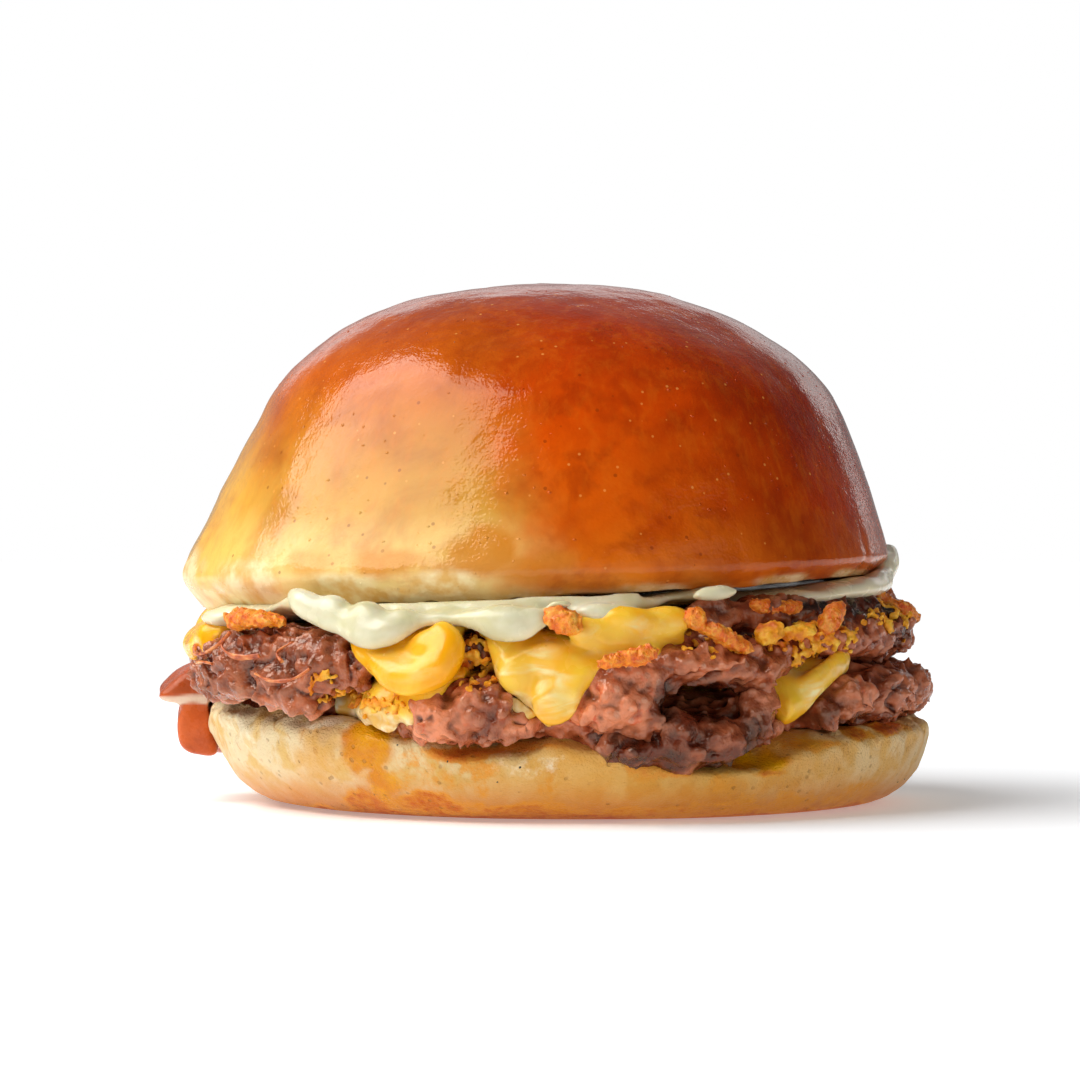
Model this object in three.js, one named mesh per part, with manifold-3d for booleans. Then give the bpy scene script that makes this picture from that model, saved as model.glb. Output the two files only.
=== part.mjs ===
// A double cheeseburger in a glazed bun, with crisp fried onion, bacon and sauce.
// Units are millimetres and +Z is up. The origin is on the flat underside of the bottom bun.
// A bearing is an angle about +Z in degrees: 0 is the front (-Y), 90 the right (+X), -90 the left.
import * as THREE from 'three';
import { ImprovedNoise } from 'three/addons/math/ImprovedNoise.js';
import { mergeVertices } from 'three/addons/utils/BufferGeometryUtils.js';
import Module from 'manifold-3d';

const wasm = await Module();
wasm.setup();
const noise = new ImprovedNoise();
const turn = THREE.MathUtils.degToRad;
const mix = THREE.MathUtils.lerp;
const smoothstep = THREE.MathUtils.smoothstep;

// Driving dimensions
const GAP = 0.4; // clear space between touching pieces
const SMOOTHING = 0.1; // how far a surface may move when triangles are thinned out
const SEGMENTS = 72; // steps round a filling layer
const BUN_SEGMENTS = 58; // steps round a bun half
const FRONT_CROWDING = 0.4; // share by which the steps are closer at the front
const CORE_RADIUS = 42; // inside this the layers are flat discs
const PATTY_THICKNESS = 6.3;
const CHEESE_THICKNESS = 1.7;
const SAUCE_THICKNESS = 1.9;
const HEEL_THICKNESS = 13.6; // bottom bun, under the filling
const HEEL_OFFSET = 4.3; // the bottom bun sits this far to the right
const CROWN_TILT = 0.053; // rise of the crown's underside per millimetre to the right

// Heights of the flat discs in the middle, stacked from the bottom bun up
const lowerPattyBottom = HEEL_THICKNESS + GAP;
const lowerPattyTop = lowerPattyBottom + PATTY_THICKNESS;
const lowerCheeseBottom = lowerPattyTop + GAP;
const upperPattyBottom = lowerCheeseBottom + CHEESE_THICKNESS + GAP;
const upperPattyTop = upperPattyBottom + PATTY_THICKNESS;
const upperCheeseBottom = upperPattyTop + GAP;
const sauceBottom = upperCheeseBottom + CHEESE_THICKNESS + GAP;
const sauceTop = sauceBottom + SAUCE_THICKNESS;
const crownBottom = sauceTop + GAP;

// The crown's outline as [radius, height], from the middle of the top down to the rim's lower corner
const CROWN_LEFT_OUTLINE = [
  [0, 84.2], [15, 82.6], [27.5, 78.7], [37.4, 72.7], [43, 66.8], [46.4, 60.5],
  [50.4, 53], [53.8, 45.8], [57, 40], [58, 36], [54.6, 31.6],
];
const CROWN_RIGHT_OUTLINE = [
  [0, 84.2], [16.5, 82.6], [30, 78.7], [40, 72.9], [45.8, 67.2], [49.3, 61],
  [52.6, 53.4], [54.9, 46.6], [56.2, 42], [56.5, 39.4], [54.2, 36.9],
];
const CROWN_RINGS = 11;

// The bottom bun's flank as [radius, height] on its left and right, from the flat underside up
const HEEL_LEFT_FLANK = [[42.5, 0], [48.2, 0.9], [52.6, 3.6], [55.6, 7.4], [57.6, 11.6], [58.2, 15.2], [55.8, 17.2]];
const HEEL_RIGHT_FLANK = [[45.5, 0], [50.6, 0.7], [54.4, 2.9], [57, 6.2], [58.3, 10.6], [58.4, 13.4], [56, 15.2]];
// How far the flank's top is pressed down where meat and cheese hang over it: [bearing, depth]
const HEEL_DENTS = [
  [-95, 0], [-58, 0.4], [-40, 1.6], [-24, 3], [-17, 5], [-8, 5], [-2, 2.8], [5, 3.6], [11, 6], [20, 7.4],
  [30, 7], [38, 4.4], [46, 2.4], [60, 1.4], [80, 0.8], [120, 1.6], [150, 0.6], [185, 2], [215, 0.6], [240, 1.4],
];

// Rims as the front shows them. Rows are [bearing, radius, upper edge, lower edge].
const LOWER_PATTY_RIM = [
  [-95, 49, 18, 14.4], [-50, 48, 17.2, 14.4], [-34, 50.6, 18.4, 15], [-24, 57, 20.6, 14.2], [-17, 60.4, 22.6, 12.2],
  [-8, 60.6, 22.6, 12], [-2, 58.4, 20.4, 14.4], [5, 58.6, 19, 13.4], [10, 61.2, 18.4, 10.8],
  [18, 62.6, 17.6, 7.4], [27, 62.4, 17.4, 7.8], [35, 60.4, 18.6, 11.6], [43, 57, 21, 14],
  [52, 60.4, 21.6, 15], [64, 63, 22.6, 14.6], [80, 63.4, 22.4, 15.4], [98, 59, 20, 15.8],
  ...hiddenRows(8, 11, [[55, 61], [18.6, 19.6], [15.8, 16.8]]),
];
const UPPER_PATTY_RIM = [
  [-95, 55.4, 27, 20.4], [-74, 56.8, 26.8, 19], [-62, 60, 27.4, 17.8], [-51, 61.6, 28.6, 17.6],
  [-43, 62, 29.2, 15.8], [-36, 60.8, 29, 17.4], [-28, 59, 28.4, 22], [-20, 57.4, 28.6, 24.4],
  [-8, 57.6, 28.4, 24.4], [0, 59.6, 27.2, 20.6], [6, 62.2, 25.2, 14.4], [12, 64, 24.8, 13],
  [17, 63.4, 26.2, 14.8], [22, 62, 27.4, 18.8], [30, 62.4, 27.4, 19.4], [37, 60.4, 28, 21.8],
  [45, 59.2, 30.4, 24.6], [58, 60.4, 31.4, 24.2], [72, 60.4, 31.6, 24.2], [85, 59.8, 31.4, 24.2],
  [98, 59, 31.2, 24.4], ...hiddenRows(8, 29, [[57, 62], [29, 30.4], [23.4, 24.4]]),
];
const SAUCE_RIM = [
  [-95, 54, 31, 29.4], [-72, 56, 31.6, 28.8], [-60, 58.6, 32, 28.4], [-49, 57.4, 32.4, 30],
  [-42, 60, 34.4, 29.6], [-36, 62.6, 35.6, 28.2], [-29, 62, 33.6, 26.8], [-22, 62.4, 33, 26.4],
  [-16, 57.8, 33, 29.2], [-11, 60, 33.4, 28.2], [-5, 62.8, 33.8, 26.8], [0, 61.4, 33.8, 28.4],
  [4, 60.2, 34.6, 32.4], [9, 60.4, 34.6, 30.4], [15, 60, 34.8, 30.8], [19, 55, 35, 33],
  [23, 58.6, 36, 33], [28, 60.2, 36.8, 33], [34, 57, 36, 33.4], [42, 54, 35.8, 33.6],
  [55, 57, 37, 33.4], [70, 57.6, 38.2, 33.4], [82, 57.8, 41.6, 33.6], [92, 57.4, 42.8, 34],
  [102, 55.4, 37, 34], ...hiddenRows(9, 37, [[54, 61.5], [33.6, 34.6], [28.6, 31.4]]),
];

// Melted slices. Rows are [bearing, height of the hanging edge, extra thickness]. Where the edge is as
// high as FREE, the slice ends on top of its patty.
const FREE = 40;
const UPPER_CHEESE_EDGE = [
  [-95, 25, 0.6], [-72, 23.8, 1.3], [-61, 25, 1.2], [-54, FREE, 0], [-33, FREE, 0], [-29, 24, 1],
  [-24, 19.8, 2.8], [-18, 20, 2.8], [-13.5, 24, 1], [-11, FREE, 0], [-8, 27, 0.2], [-6, 20.6, 0.5],
  [-2, 18.6, 0.7], [1, 14.6, 1], [5, 15, 1.2], [8, 20, 0.9], [13, 22.6, 0.6], [20, 27, 0.4],
  [25, FREE, 0], [100, FREE, 0], ...hiddenRows(9, 51, [[19, 31], [0.2, 1.8]]),
];
const LOWER_CHEESE_EDGE = [
  [-95, FREE, 0], [-44, FREE, 0], [-38, 17, 0.2], [-30, 13.4, 0.5], [-24, 12.6, 0.6], [-19, 16.6, 0.6],
  [-13, 17.8, 0.4], [-9, FREE, 0], [35, FREE, 0],
  [40, 16, 1.2], [46, 13.2, 1.6], [52, 15.6, 1.4], [58, FREE, 0],
  [100, FREE, 0], ...hiddenRows(9, 67, [[12, 25], [0.1, 1.2]]),
];

const UPPER_PATTY = { rim: UPPER_PATTY_RIM, coreBottom: upperPattyBottom, coreTop: upperPattyTop };
const LOWER_PATTY = { rim: LOWER_PATTY_RIM, coreBottom: lowerPattyBottom, coreTop: lowerPattyTop };
const UPPER_CHEESE = { edge: UPPER_CHEESE_EDGE, patty: UPPER_PATTY };
const LOWER_CHEESE = { edge: LOWER_CHEESE_EDGE, patty: LOWER_PATTY };

// Crisp onion: bearing, radius and height of each large piece's middle, its length, height and depth,
// and how far it is turned in its own upright plane.
const ONION_PIECES = [
  { at: -47.5, radius: 60, height: 30.6, size: [14, 3.2, 6], roll: -4 },
  { at: 3.3, radius: 62.2, height: 31, size: [5.8, 4.2, 5], roll: -20 },
  { at: 22, radius: 61.8, height: 31, size: [3.8, 3.6, 4], roll: -35 },
  { at: 27.4, radius: 62, height: 27.8, size: [9.8, 3, 5], roll: -24 },
  { at: 34, radius: 61.4, height: 29, size: [4.2, 4.2, 4], roll: 30 },
  { at: 41, radius: 60.6, height: 29.4, size: [7.4, 3.6, 4.4], roll: 6 },
  { at: 48.6, radius: 60.2, height: 31.6, size: [3.8, 6.2, 4], roll: -16 },
  { at: 39.5, radius: 56, height: 32.4, size: [9.5, 2.8, 5], roll: 0 },
  { at: 78, radius: 60.4, height: 31.9, size: [10.5, 2.8, 6], roll: -26 },
  { at: 11.5, radius: 65.4, height: 25.4, size: [8, 3.2, 3.4], roll: 12 },
];
const HIDDEN_ONION_COUNT = 6;

// Bacon: one rasher that lies between the patties at the left, folds back and hangs down outside the bun.
// The outline is its section as [x, z], and it runs back along +Y.
const BACON_SECTION = [
  [-42, 18.6], [-47, 18.2], [-53.4, 17.4], [-54.8, 16.2], [-54.6, 12.4], [-54.4, 8.2], [-56.6, 7.6],
  [-58.4, 9.2], [-58.8, 13], [-57.8, 16], [-59.2, 16.8], [-61.4, 18.2], [-60.2, 20.2], [-57, 22],
  [-52, 22.6], [-47, 21.8], [-42, 21],
];
const BACON_FRONT = -7;
const BACON_WIDTH = 25;
const BACON_STEPS = 7;
const BACON_WAVE = 0.9;

// Relief
const CRAG_DEPTH = 2.2; // meat clumps
const CRAG_SIZE = 5;
const CLUMP_DEPTH = 1.4;
const CLUMP_SIZE = 11;
const CRUST_DENT_DEPTH = 0.6;
const CRUST_DENT_SIZE = 17;
const CRISP_ROUGHNESS = 0.45; // share of a piece's size

// Returns a repeatable random number maker.
function seeded(seed) {
  let state = seed * 7919;
  return () => {
    state = (state * 16807) % 2147483647;
    return state / 2147483647;
  };
}

// Rows for the side that the photograph doesn't show: spread round the back, by turns near the two
// limits of each column, so that bulges and drips follow one another.
function hiddenRows(count, seed, limits) {
  const draw = seeded(seed);
  draw();
  const first = 108;
  const last = 258;
  return Array.from({ length: count }, (_, i) => {
    const at = first + ((last - first) * (i + 0.2 + 0.6 * draw())) / count;
    return [at, ...limits.map(([low, high]) => mix(low, high, (i % 2 ? 0.55 : 0) + 0.45 * draw()))];
  });
}

// The row at a bearing, eased between its neighbours in the table.
function rowAt(rows, bearing) {
  const start = rows[0][0];
  const wrapped = THREE.MathUtils.euclideanModulo(bearing - start, 360) + start;
  const found = rows.findIndex(([at]) => at > wrapped);
  const after = rows[Math.max(found, 0)];
  const before = rows[(found < 0 ? rows.length : found) - 1];
  const span = THREE.MathUtils.euclideanModulo(after[0] - before[0], 360);
  const share = smoothstep((wrapped - before[0]) / span, 0, 1);
  return before.map((value, i) => mix(value, after[i], share));
}

function place(bearing, radius, height) {
  return new THREE.Vector3(radius * Math.sin(turn(bearing)), -radius * Math.cos(turn(bearing)), height);
}

// The height of a disc's edge after the stack has settled under the tilted crown.
function settled(bearing, height) {
  const share = (height - HEEL_THICKNESS) / (crownBottom - HEEL_THICKNESS);
  return height + CROWN_TILT * CORE_RADIUS * Math.sin(turn(bearing)) * THREE.MathUtils.clamp(share, 0, 1);
}

// A closed solid of revolution whose outline changes with the bearing. outlineAt returns [radius, height]
// pairs from the axis at the bottom to the axis at the top, always the same number of them. Crossed
// turns the squares' diagonals, so that an inside face matches the outside face that it lies on.
function revolve(outlineAt, segments, crowding = 0, crossed = false) {
  const first = outlineAt(0);
  const lathe = new THREE.LatheGeometry(first.map(([r, z]) => new THREE.Vector2(r, z)), segments);
  const position = lathe.getAttribute('position');
  for (let i = 0; i <= segments; i++) {
    const even = (360 * (i % segments)) / segments;
    const bearing = even - THREE.MathUtils.radToDeg(crowding * Math.sin(turn(even)));
    outlineAt(bearing).forEach(([radius, height], j) => {
      const point = place(bearing, radius, height);
      position.setXYZ(i * first.length + j, point.x, point.y, point.z);
    });
  }
  for (let k = 0; crossed && k < lathe.index.count; k += 6) {
    const [a, b, d, c] = lathe.index.array.slice(k, k + 4);
    lathe.index.array.set([a, b, c, a, c, d], k);
  }
  return lathe;
}

// Geometry to a solid that can be cut, and back.
function solid(geometry) {
  const bare = geometry.clone();
  bare.deleteAttribute('normal');
  bare.deleteAttribute('uv');
  const merged = mergeVertices(bare, 1e-4);
  return new wasm.Manifold(new wasm.Mesh({
    numProp: 3,
    vertProperties: new Float32Array(merged.getAttribute('position').array),
    triVerts: new Uint32Array(merged.index.array),
  }));
}

function geometryOf(piece) {
  const made = piece.getMesh();
  const geometry = new THREE.BufferGeometry();
  geometry.setAttribute('position', new THREE.BufferAttribute(made.vertProperties, 3));
  geometry.setIndex(new THREE.BufferAttribute(made.triVerts, 1));
  geometry.computeVertexNormals();
  return geometry;
}

// Cuts a piece back from its neighbours, drops loose scraps and thins out needless triangles.
function fitted(piece, neighbours = []) {
  const cut = neighbours.reduce((left, neighbour) => left.subtract(neighbour), piece);
  const whole = cut.decompose().sort((a, b) => b.volume() - a.volume())[0];
  return whole.simplify(SMOOTHING);
}

// The height of the crown's lower corner
function crownEdge(bearing) {
  const rightness = (1 + Math.sin(turn(bearing))) / 2;
  return mix(CROWN_LEFT_OUTLINE.at(-1)[1], CROWN_RIGHT_OUTLINE.at(-1)[1], rightness);
}

function splineOf(points) {
  return new THREE.SplineCurve(points.map(([r, z]) => new THREE.Vector2(r, z)));
}

// The glazed top half of the bun
function crown(swell) {
  const left = splineOf(CROWN_LEFT_OUTLINE);
  const right = splineOf(CROWN_RIGHT_OUTLINE);
  return revolve((bearing) => {
    const rightness = (1 + Math.sin(turn(bearing))) / 2;
    const profile = [[0, crownBottom - swell], [CORE_RADIUS, settled(bearing, crownBottom) - swell]];
    for (let ring = CROWN_RINGS; ring >= 0; ring--) {
      const share = Math.pow(ring / CROWN_RINGS, 0.92);
      const point = left.getPointAt(share).lerp(right.getPointAt(share), rightness);
      const spot = place(bearing, point.x, point.y).divideScalar(CRUST_DENT_SIZE);
      const dent = ring ? CRUST_DENT_DEPTH * noise.noise(spot.x, spot.y, spot.z) : 0;
      const outward = new THREE.Vector2(point.x, point.y - crownBottom - 2).normalize();
      point.addScaledVector(outward, dent + swell);
      profile.push([ring ? point.x : 0, point.y]);
    }
    return profile;
  }, BUN_SEGMENTS);
}

// The bottom half of the bun, flat where it rests
function heel(swell) {
  const geometry = revolve((bearing) => {
    const rightness = (1 + Math.sin(turn(bearing))) / 2;
    const [, dent] = rowAt(HEEL_DENTS, bearing);
    const flank = HEEL_LEFT_FLANK.map(([radius, height], i) => {
      const out = mix(radius, HEEL_RIGHT_FLANK[i][0], rightness);
      const up = mix(height, HEEL_RIGHT_FLANK[i][1], rightness);
      const spot = place(bearing, 3, up / 7);
      const wobble = 0.8 * noise.noise(spot.x, spot.y, spot.z + 4.5);
      const pressed = (up * dent) / 16;
      return [out + wobble + (i ? swell : 0), up - pressed + swell * Math.min(0, 1) + (i > 4 ? swell : i ? 0 : -swell)];
    });
    return [
      [0, -swell], ...flank,
      [CORE_RADIUS + 8, HEEL_THICKNESS + swell], [0, HEEL_THICKNESS + swell],
    ];
  }, BUN_SEGMENTS, FRONT_CROWDING);
  return geometry.translate(HEEL_OFFSET, 0, 0);
}

// A smashed patty's outline at a bearing: a flat core and a torn, clumped rim
function pattyOutline({ rim, coreBottom, coreTop }, bearing, swell) {
  const [, radius, top, bottom] = rowAt(rim, bearing);
  const low = settled(bearing, coreBottom);
  const high = settled(bearing, coreTop);
  const tall = top - bottom;
  const middle = (top + bottom) / 2;
  const reach = radius - CORE_RADIUS;
  const edge = [
    [CORE_RADIUS + 0.45 * reach, mix(low, bottom, 0.08)],
    [CORE_RADIUS + 0.72 * reach, mix(low, bottom, 0.5)],
    [radius - 2.4, bottom + 0.05 * tall],
    [radius - 0.7, bottom + 0.25 * tall],
    [radius, middle],
    [radius - 0.9, top - 0.22 * tall],
    [radius - 2.8, top - 0.03 * tall],
    [CORE_RADIUS + 0.58 * reach, mix(high, top, 0.7)],
  ].map(([r, z]) => {
    const near = place(bearing, r, z + coreBottom * 3).divideScalar(CRAG_SIZE);
    const far = place(bearing, r, z + coreBottom * 3).divideScalar(CLUMP_SIZE);
    const relief = CRAG_DEPTH * noise.noise(near.x, near.y, near.z)
      + CLUMP_DEPTH * noise.noise(far.x, far.y, far.z);
    const outward = new THREE.Vector2(r - (radius - 7), (z - middle) * 1.6).normalize();
    const share = smoothstep(r, radius - 9, radius - 2.5);
    return [r + outward.x * (relief * share + swell), z + outward.y * (relief * share + swell)];
  });
  return [
    [0, coreBottom - swell], [CORE_RADIUS, low - swell], ...edge,
    [CORE_RADIUS, high + swell], [0, coreTop + swell],
  ];
}

function patty(meat, swell) {
  return revolve((bearing) => pattyOutline(meat, bearing, swell), SEGMENTS, FRONT_CROWDING);
}

// The end of a path once everything beyond a given height is cut off; dropped points crowd at the cut.
function cutAt(path, height) {
  const kept = [path[0]];
  path.slice(1).forEach((point, i) => {
    const last = kept.at(-1);
    const from = path[i];
    const reached = from.y > height && from === last;
    const share = reached ? Math.min(1, (from.y - height) / Math.max(from.y - point.y, 0.01)) : 0.02;
    kept.push(share >= 1 && reached ? point : last.clone().lerp(point, Math.max(share, 0.02)));
  });
  return kept;
}

// The lower and upper faces of a melted slice that lies on a patty, turns over its edge and hangs
// down outside it, as [radius, height] from the core to the tip
function cheeseFaces(slice, bearing, swell) {
  const cling = 1.3 * GAP;
  const thickness = CHEESE_THICKNESS - 0.9 * GAP;
  const [, hangTo, bulge] = rowAt(slice.edge, bearing);
  const outline = pattyOutline(slice.patty, bearing, cling).reverse();
  const [, core, shoulder, lip, brow, belly] = outline.map(([r, z]) => new THREE.Vector2(r, z));
  const widest = Math.max(lip.x, brow.x, belly.x);
  const drop = new THREE.Vector2(widest, Math.min(belly.y - 0.5, hangTo));
  const path = [core, ...cutAt([shoulder, lip, brow, belly, drop], Math.min(hangTo, lip.y - 0.4))];
  const faces = path.map((point, i) => {
    const flow = path[Math.min(i + 1, path.length - 1)].clone().sub(path[Math.max(i - 1, 0)]).normalize();
    const normal = i ? new THREE.Vector2(-flow.y, flow.x) : new THREE.Vector2(0, 1);
    const swollen = (thickness + bulge * [0, 0.1, 0.5, 0.9, 1, 0.4][i]) * (i < path.length - 1 ? 1 : 0.8);
    return {
      inner: point.clone().addScaledVector(normal, -swell),
      outer: point.clone().addScaledVector(normal, swollen + swell),
      flow,
    };
  });
  const last = faces.at(-1);
  const tip = last.inner.clone().lerp(last.outer, 0.5).addScaledVector(last.flow, 0.45 * thickness + swell);
  const low = slice.patty.coreTop + cling - swell;
  return {
    inner: faces.map((face) => face.inner), outer: faces.map((face) => face.outer), tip,
    low, high: low + thickness + 2 * swell,
  };
}

function cheese(slice, swell) {
  return revolve((bearing) => {
    const { inner, outer, tip, low, high } = cheeseFaces(slice, bearing, swell);
    const around = [...inner, tip, ...outer.reverse()];
    return [[0, low], ...around.map((point) => point.toArray()), [0, high]];
  }, SEGMENTS, FRONT_CROWDING, true);
}

// Thick sauce squeezed out under the crown, over the upper slice
function sauce(swell) {
  return revolve((bearing) => {
    const [, radius, top, bottom] = rowAt(SAUCE_RIM, bearing);
    const { outer } = cheeseFaces(UPPER_CHEESE, bearing, GAP);
    const under = outer.slice(0, 3).map(({ x, y }, i) => [Math.min(x, radius - 4.4 + i), y + 0.1 - swell]);
    const drips = radius > outer[3].x;
    const low = (drips ? bottom : Math.max(bottom, under[2][1] + 0.2)) - swell;
    const high = top + swell;
    const ceiling = crownEdge(bearing) - GAP + swell;
    return [
      [0, sauceBottom - swell], ...under, [radius - 1.6, mix(low, high, 0.06)],
      [radius + swell, mix(low, high, 0.4)], [radius - 0.9 + swell, mix(low, high, 0.8)],
      [radius - 3.2, Math.min(high, ceiling)],
      [CORE_RADIUS, settled(bearing, sauceTop) + swell], [0, sauceTop + swell],
    ];
  }, SEGMENTS, FRONT_CROWDING);
}

// One piece of crisp onion: a rough flat chip
function onion({ at, radius, height, size, roll }, index, swell) {
  const chip = new THREE.DodecahedronGeometry(0.5);
  chip.deleteAttribute('normal');
  chip.deleteAttribute('uv');
  const shape = mergeVertices(chip, 1e-4);
  const position = shape.getAttribute('position');
  for (let i = 0; i < position.count; i++) {
    const point = new THREE.Vector3().fromBufferAttribute(position, i);
    const rough = noise.noise(3 * point.x + index * 3.7, 3 * point.y, 3 * point.z);
    point.multiplyScalar(1 + CRISP_ROUGHNESS * rough);
    position.setXYZ(i, point.x * (size[0] + 2 * swell), point.y * (size[2] + 2 * swell),
      point.z * (size[1] + 2 * swell));
  }
  const spot = place(at, radius, height);
  return shape.rotateY(turn(-roll)).rotateZ(turn(at)).translate(spot.x, spot.y, spot.z);
}

function hiddenOnions() {
  const draw = seeded(977);
  draw();
  return Array.from({ length: HIDDEN_ONION_COUNT }, (_, i) => ({
    at: 112 + (132 * (i + 0.2 + 0.6 * draw())) / HIDDEN_ONION_COUNT,
    radius: 59.4 + 1.6 * draw(),
    height: 31.4 + 1.2 * draw(),
    size: [5 + 6 * draw(), 2.8 + 1.4 * draw(), 4.5 + 2.5 * draw()],
    roll: -25 + 50 * draw(),
  }));
}

// The folded rasher: its section is extruded back, then bent round the bun and waved
function bacon(swell) {
  const points = BACON_SECTION.map(([x, z]) => new THREE.Vector2(x, z));
  const swollen = points.map((point, i) => {
    const next = points[(i + 1) % points.length];
    const last = points[(i + points.length - 1) % points.length];
    const edge = next.clone().sub(last).normalize();
    return point.clone().add(new THREE.Vector2(-edge.y, edge.x).multiplyScalar(swell));
  });
  const strip = new THREE.ExtrudeGeometry(new THREE.Shape(swollen), {
    depth: BACON_WIDTH + 2 * swell, steps: BACON_STEPS, bevelEnabled: false,
  });
  strip.rotateX(Math.PI / 2).translate(0, BACON_FRONT + BACON_WIDTH + swell, 0);
  const bunRadius = HEEL_LEFT_FLANK[5][0];
  const position = strip.getAttribute('position');
  for (let i = 0; i < position.count; i++) {
    const x = position.getX(i);
    const y = position.getY(i);
    const z = position.getZ(i);
    const round = bunRadius - Math.sqrt(bunRadius ** 2 - y ** 2);
    const outer = smoothstep(-x, 48, 58);
    const wave = BACON_WAVE * outer * Math.sin(y / 3.6);
    position.setXYZ(i, x + round, y, z + wave - outer * 0.05 * (y - BACON_FRONT));
  }
  return strip;
}

// The bun, the bacon and the meat come first. The soft layers flow round them and the crisp onion is
// bedded into those last, all of them GAP clear.
function build() {
  const onions = [...ONION_PIECES, ...hiddenOnions()];
  const upperPatty = (swell) => solid(patty(UPPER_PATTY, swell));
  const lowerPatty = (swell) => solid(patty(LOWER_PATTY, swell));
  const upperCheese = (swell) => solid(cheese(UPPER_CHEESE, swell));
  const lowerCheese = (swell) => solid(cheese(LOWER_CHEESE, swell));
  const bun = [solid(crown(GAP)), solid(heel(GAP))];
  const rasher = solid(bacon(GAP));
  const made = {
    bun_crown: fitted(solid(crown(0))),
    bun_heel: fitted(solid(heel(0))),
    bacon: fitted(solid(bacon(0)), bun),
    patty_upper: fitted(upperPatty(0), [...bun, rasher]),
    patty_lower: fitted(lowerPatty(0), [...bun, rasher, upperPatty(GAP)]),
    cheese_upper: fitted(upperCheese(0), [...bun, rasher, upperPatty(0.5 * GAP), lowerPatty(GAP)]),
    cheese_lower: fitted(
      lowerCheese(0), [...bun, rasher, lowerPatty(0.5 * GAP), upperPatty(0.8 * GAP), upperCheese(GAP)]),
    sauce: fitted(solid(sauce(0)), [...bun, rasher, upperPatty(GAP), upperCheese(GAP)]),
  };
  const bedding = [...bun, rasher, upperPatty(GAP), upperCheese(GAP), solid(sauce(GAP))];
  onions.forEach((piece, i) => {
    const earlier = onions.slice(0, i).map((other, j) => solid(onion(other, j, GAP)));
    made[`onion_${String(i + 1).padStart(2, '0')}`] = fitted(solid(onion(piece, i, 0)), [...bedding, ...earlier]);
  });
  return made;
}

const FINISHES = {
  bun_crown: { color: 0xb9560f, roughness: 0.22 },
  bun_heel: { color: 0xd6b27a, roughness: 0.75 },
  patty: { color: 0x7a4a38, roughness: 0.45 },
  cheese: { color: 0xf2b22e, roughness: 0.3 },
  sauce: { color: 0xe3dfc6, roughness: 0.25 },
  onion: { color: 0xd8731d, roughness: 0.7 },
  bacon: { color: 0xb25a35, roughness: 0.4 },
};

function finishOf(name) {
  const finish = FINISHES[name] ?? FINISHES[name.split('_')[0]];
  return new THREE.MeshStandardMaterial({ ...finish, metalness: 0 });
}

const burger = new THREE.Group();
for (const [name, piece] of Object.entries(build())) {
  const mesh = new THREE.Mesh(geometryOf(piece), finishOf(name));
  mesh.name = name;
  burger.add(mesh);
}

export default burger;
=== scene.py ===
# %% [markdown]
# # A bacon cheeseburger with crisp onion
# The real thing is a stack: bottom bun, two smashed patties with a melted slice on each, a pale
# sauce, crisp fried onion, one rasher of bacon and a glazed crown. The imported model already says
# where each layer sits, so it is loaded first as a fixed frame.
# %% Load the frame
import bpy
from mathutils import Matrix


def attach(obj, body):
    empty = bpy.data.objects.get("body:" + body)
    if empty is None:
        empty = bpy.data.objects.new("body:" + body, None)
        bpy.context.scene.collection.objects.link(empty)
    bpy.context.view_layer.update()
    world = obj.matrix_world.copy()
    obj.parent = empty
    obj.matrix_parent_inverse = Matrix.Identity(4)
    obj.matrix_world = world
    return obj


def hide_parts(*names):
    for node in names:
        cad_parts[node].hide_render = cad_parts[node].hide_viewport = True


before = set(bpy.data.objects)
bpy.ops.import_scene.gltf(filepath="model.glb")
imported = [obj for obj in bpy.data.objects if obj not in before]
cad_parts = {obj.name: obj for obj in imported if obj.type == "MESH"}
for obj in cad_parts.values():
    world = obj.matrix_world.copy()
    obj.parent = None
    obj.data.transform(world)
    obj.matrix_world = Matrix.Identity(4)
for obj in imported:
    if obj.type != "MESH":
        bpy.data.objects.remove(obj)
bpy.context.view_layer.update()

# %% [markdown]
# Food is easier to describe with a compass than with a ruler. A point on the burger is given by its
# bearing (0 is the front, 90 the right-hand side), how far out it is from the middle, and its
# height above the board. Lengths here are millimetres, and only the finished mesh is in metres.
# %% Bearings and tables
import math
import bpy
import numpy as np
from mathutils import Vector

MM = 0.001


def mix(low, high, share):
    return low + (high - low) * share


def ease(value, low, high):
    """0 below low, 1 above high, and a soft step between them."""
    share = np.clip((value - low) / (high - low), 0, 1)
    return share * share * (3 - 2 * share)


def polar(bearings, out, height):
    turn = np.radians(bearings)
    return np.stack([out * np.sin(turn), -out * np.cos(turn), height + 0 * turn], -1)


def bearing_of(points):
    return np.degrees(np.arctan2(points[:, 0], -points[:, 1]))


def from_axis(points):
    return np.hypot(points[:, 0], points[:, 1])


def turn_between(bearings, at):
    """How far bearings are from another one, by the shorter way round: -180 to 180."""
    return (bearings - at + 180) % 360 - 180


def row_at(rows, bearings):
    """The numbers of a table's rows at each bearing, eased from row to row, right round."""
    table = np.array(rows, float)
    table = np.vstack([table, table[:1] + np.eye(table.shape[1])[0] * 360])
    at = (np.asarray(bearings, float) - table[0, 0]) % 360 + table[0, 0]
    row = np.clip(np.searchsorted(table[:, 0], at, side="right") - 1, 0, len(rows) - 1)
    share = ease((at - table[row, 0]) / (table[row + 1, 0] - table[row, 0]), 0, 1)
    return mix(table[row, 1:], table[row + 1, 1:], share[:, None]).T


DICE_STEP, DICE_TOP = 16807, 2147483647


def dice(seed):
    """Endless whole numbers below DICE_TOP, the same for the same seed."""
    state = seed * 7919 * DICE_STEP % DICE_TOP
    while True:
        state = state * DICE_STEP % DICE_TOP
        yield state


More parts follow.
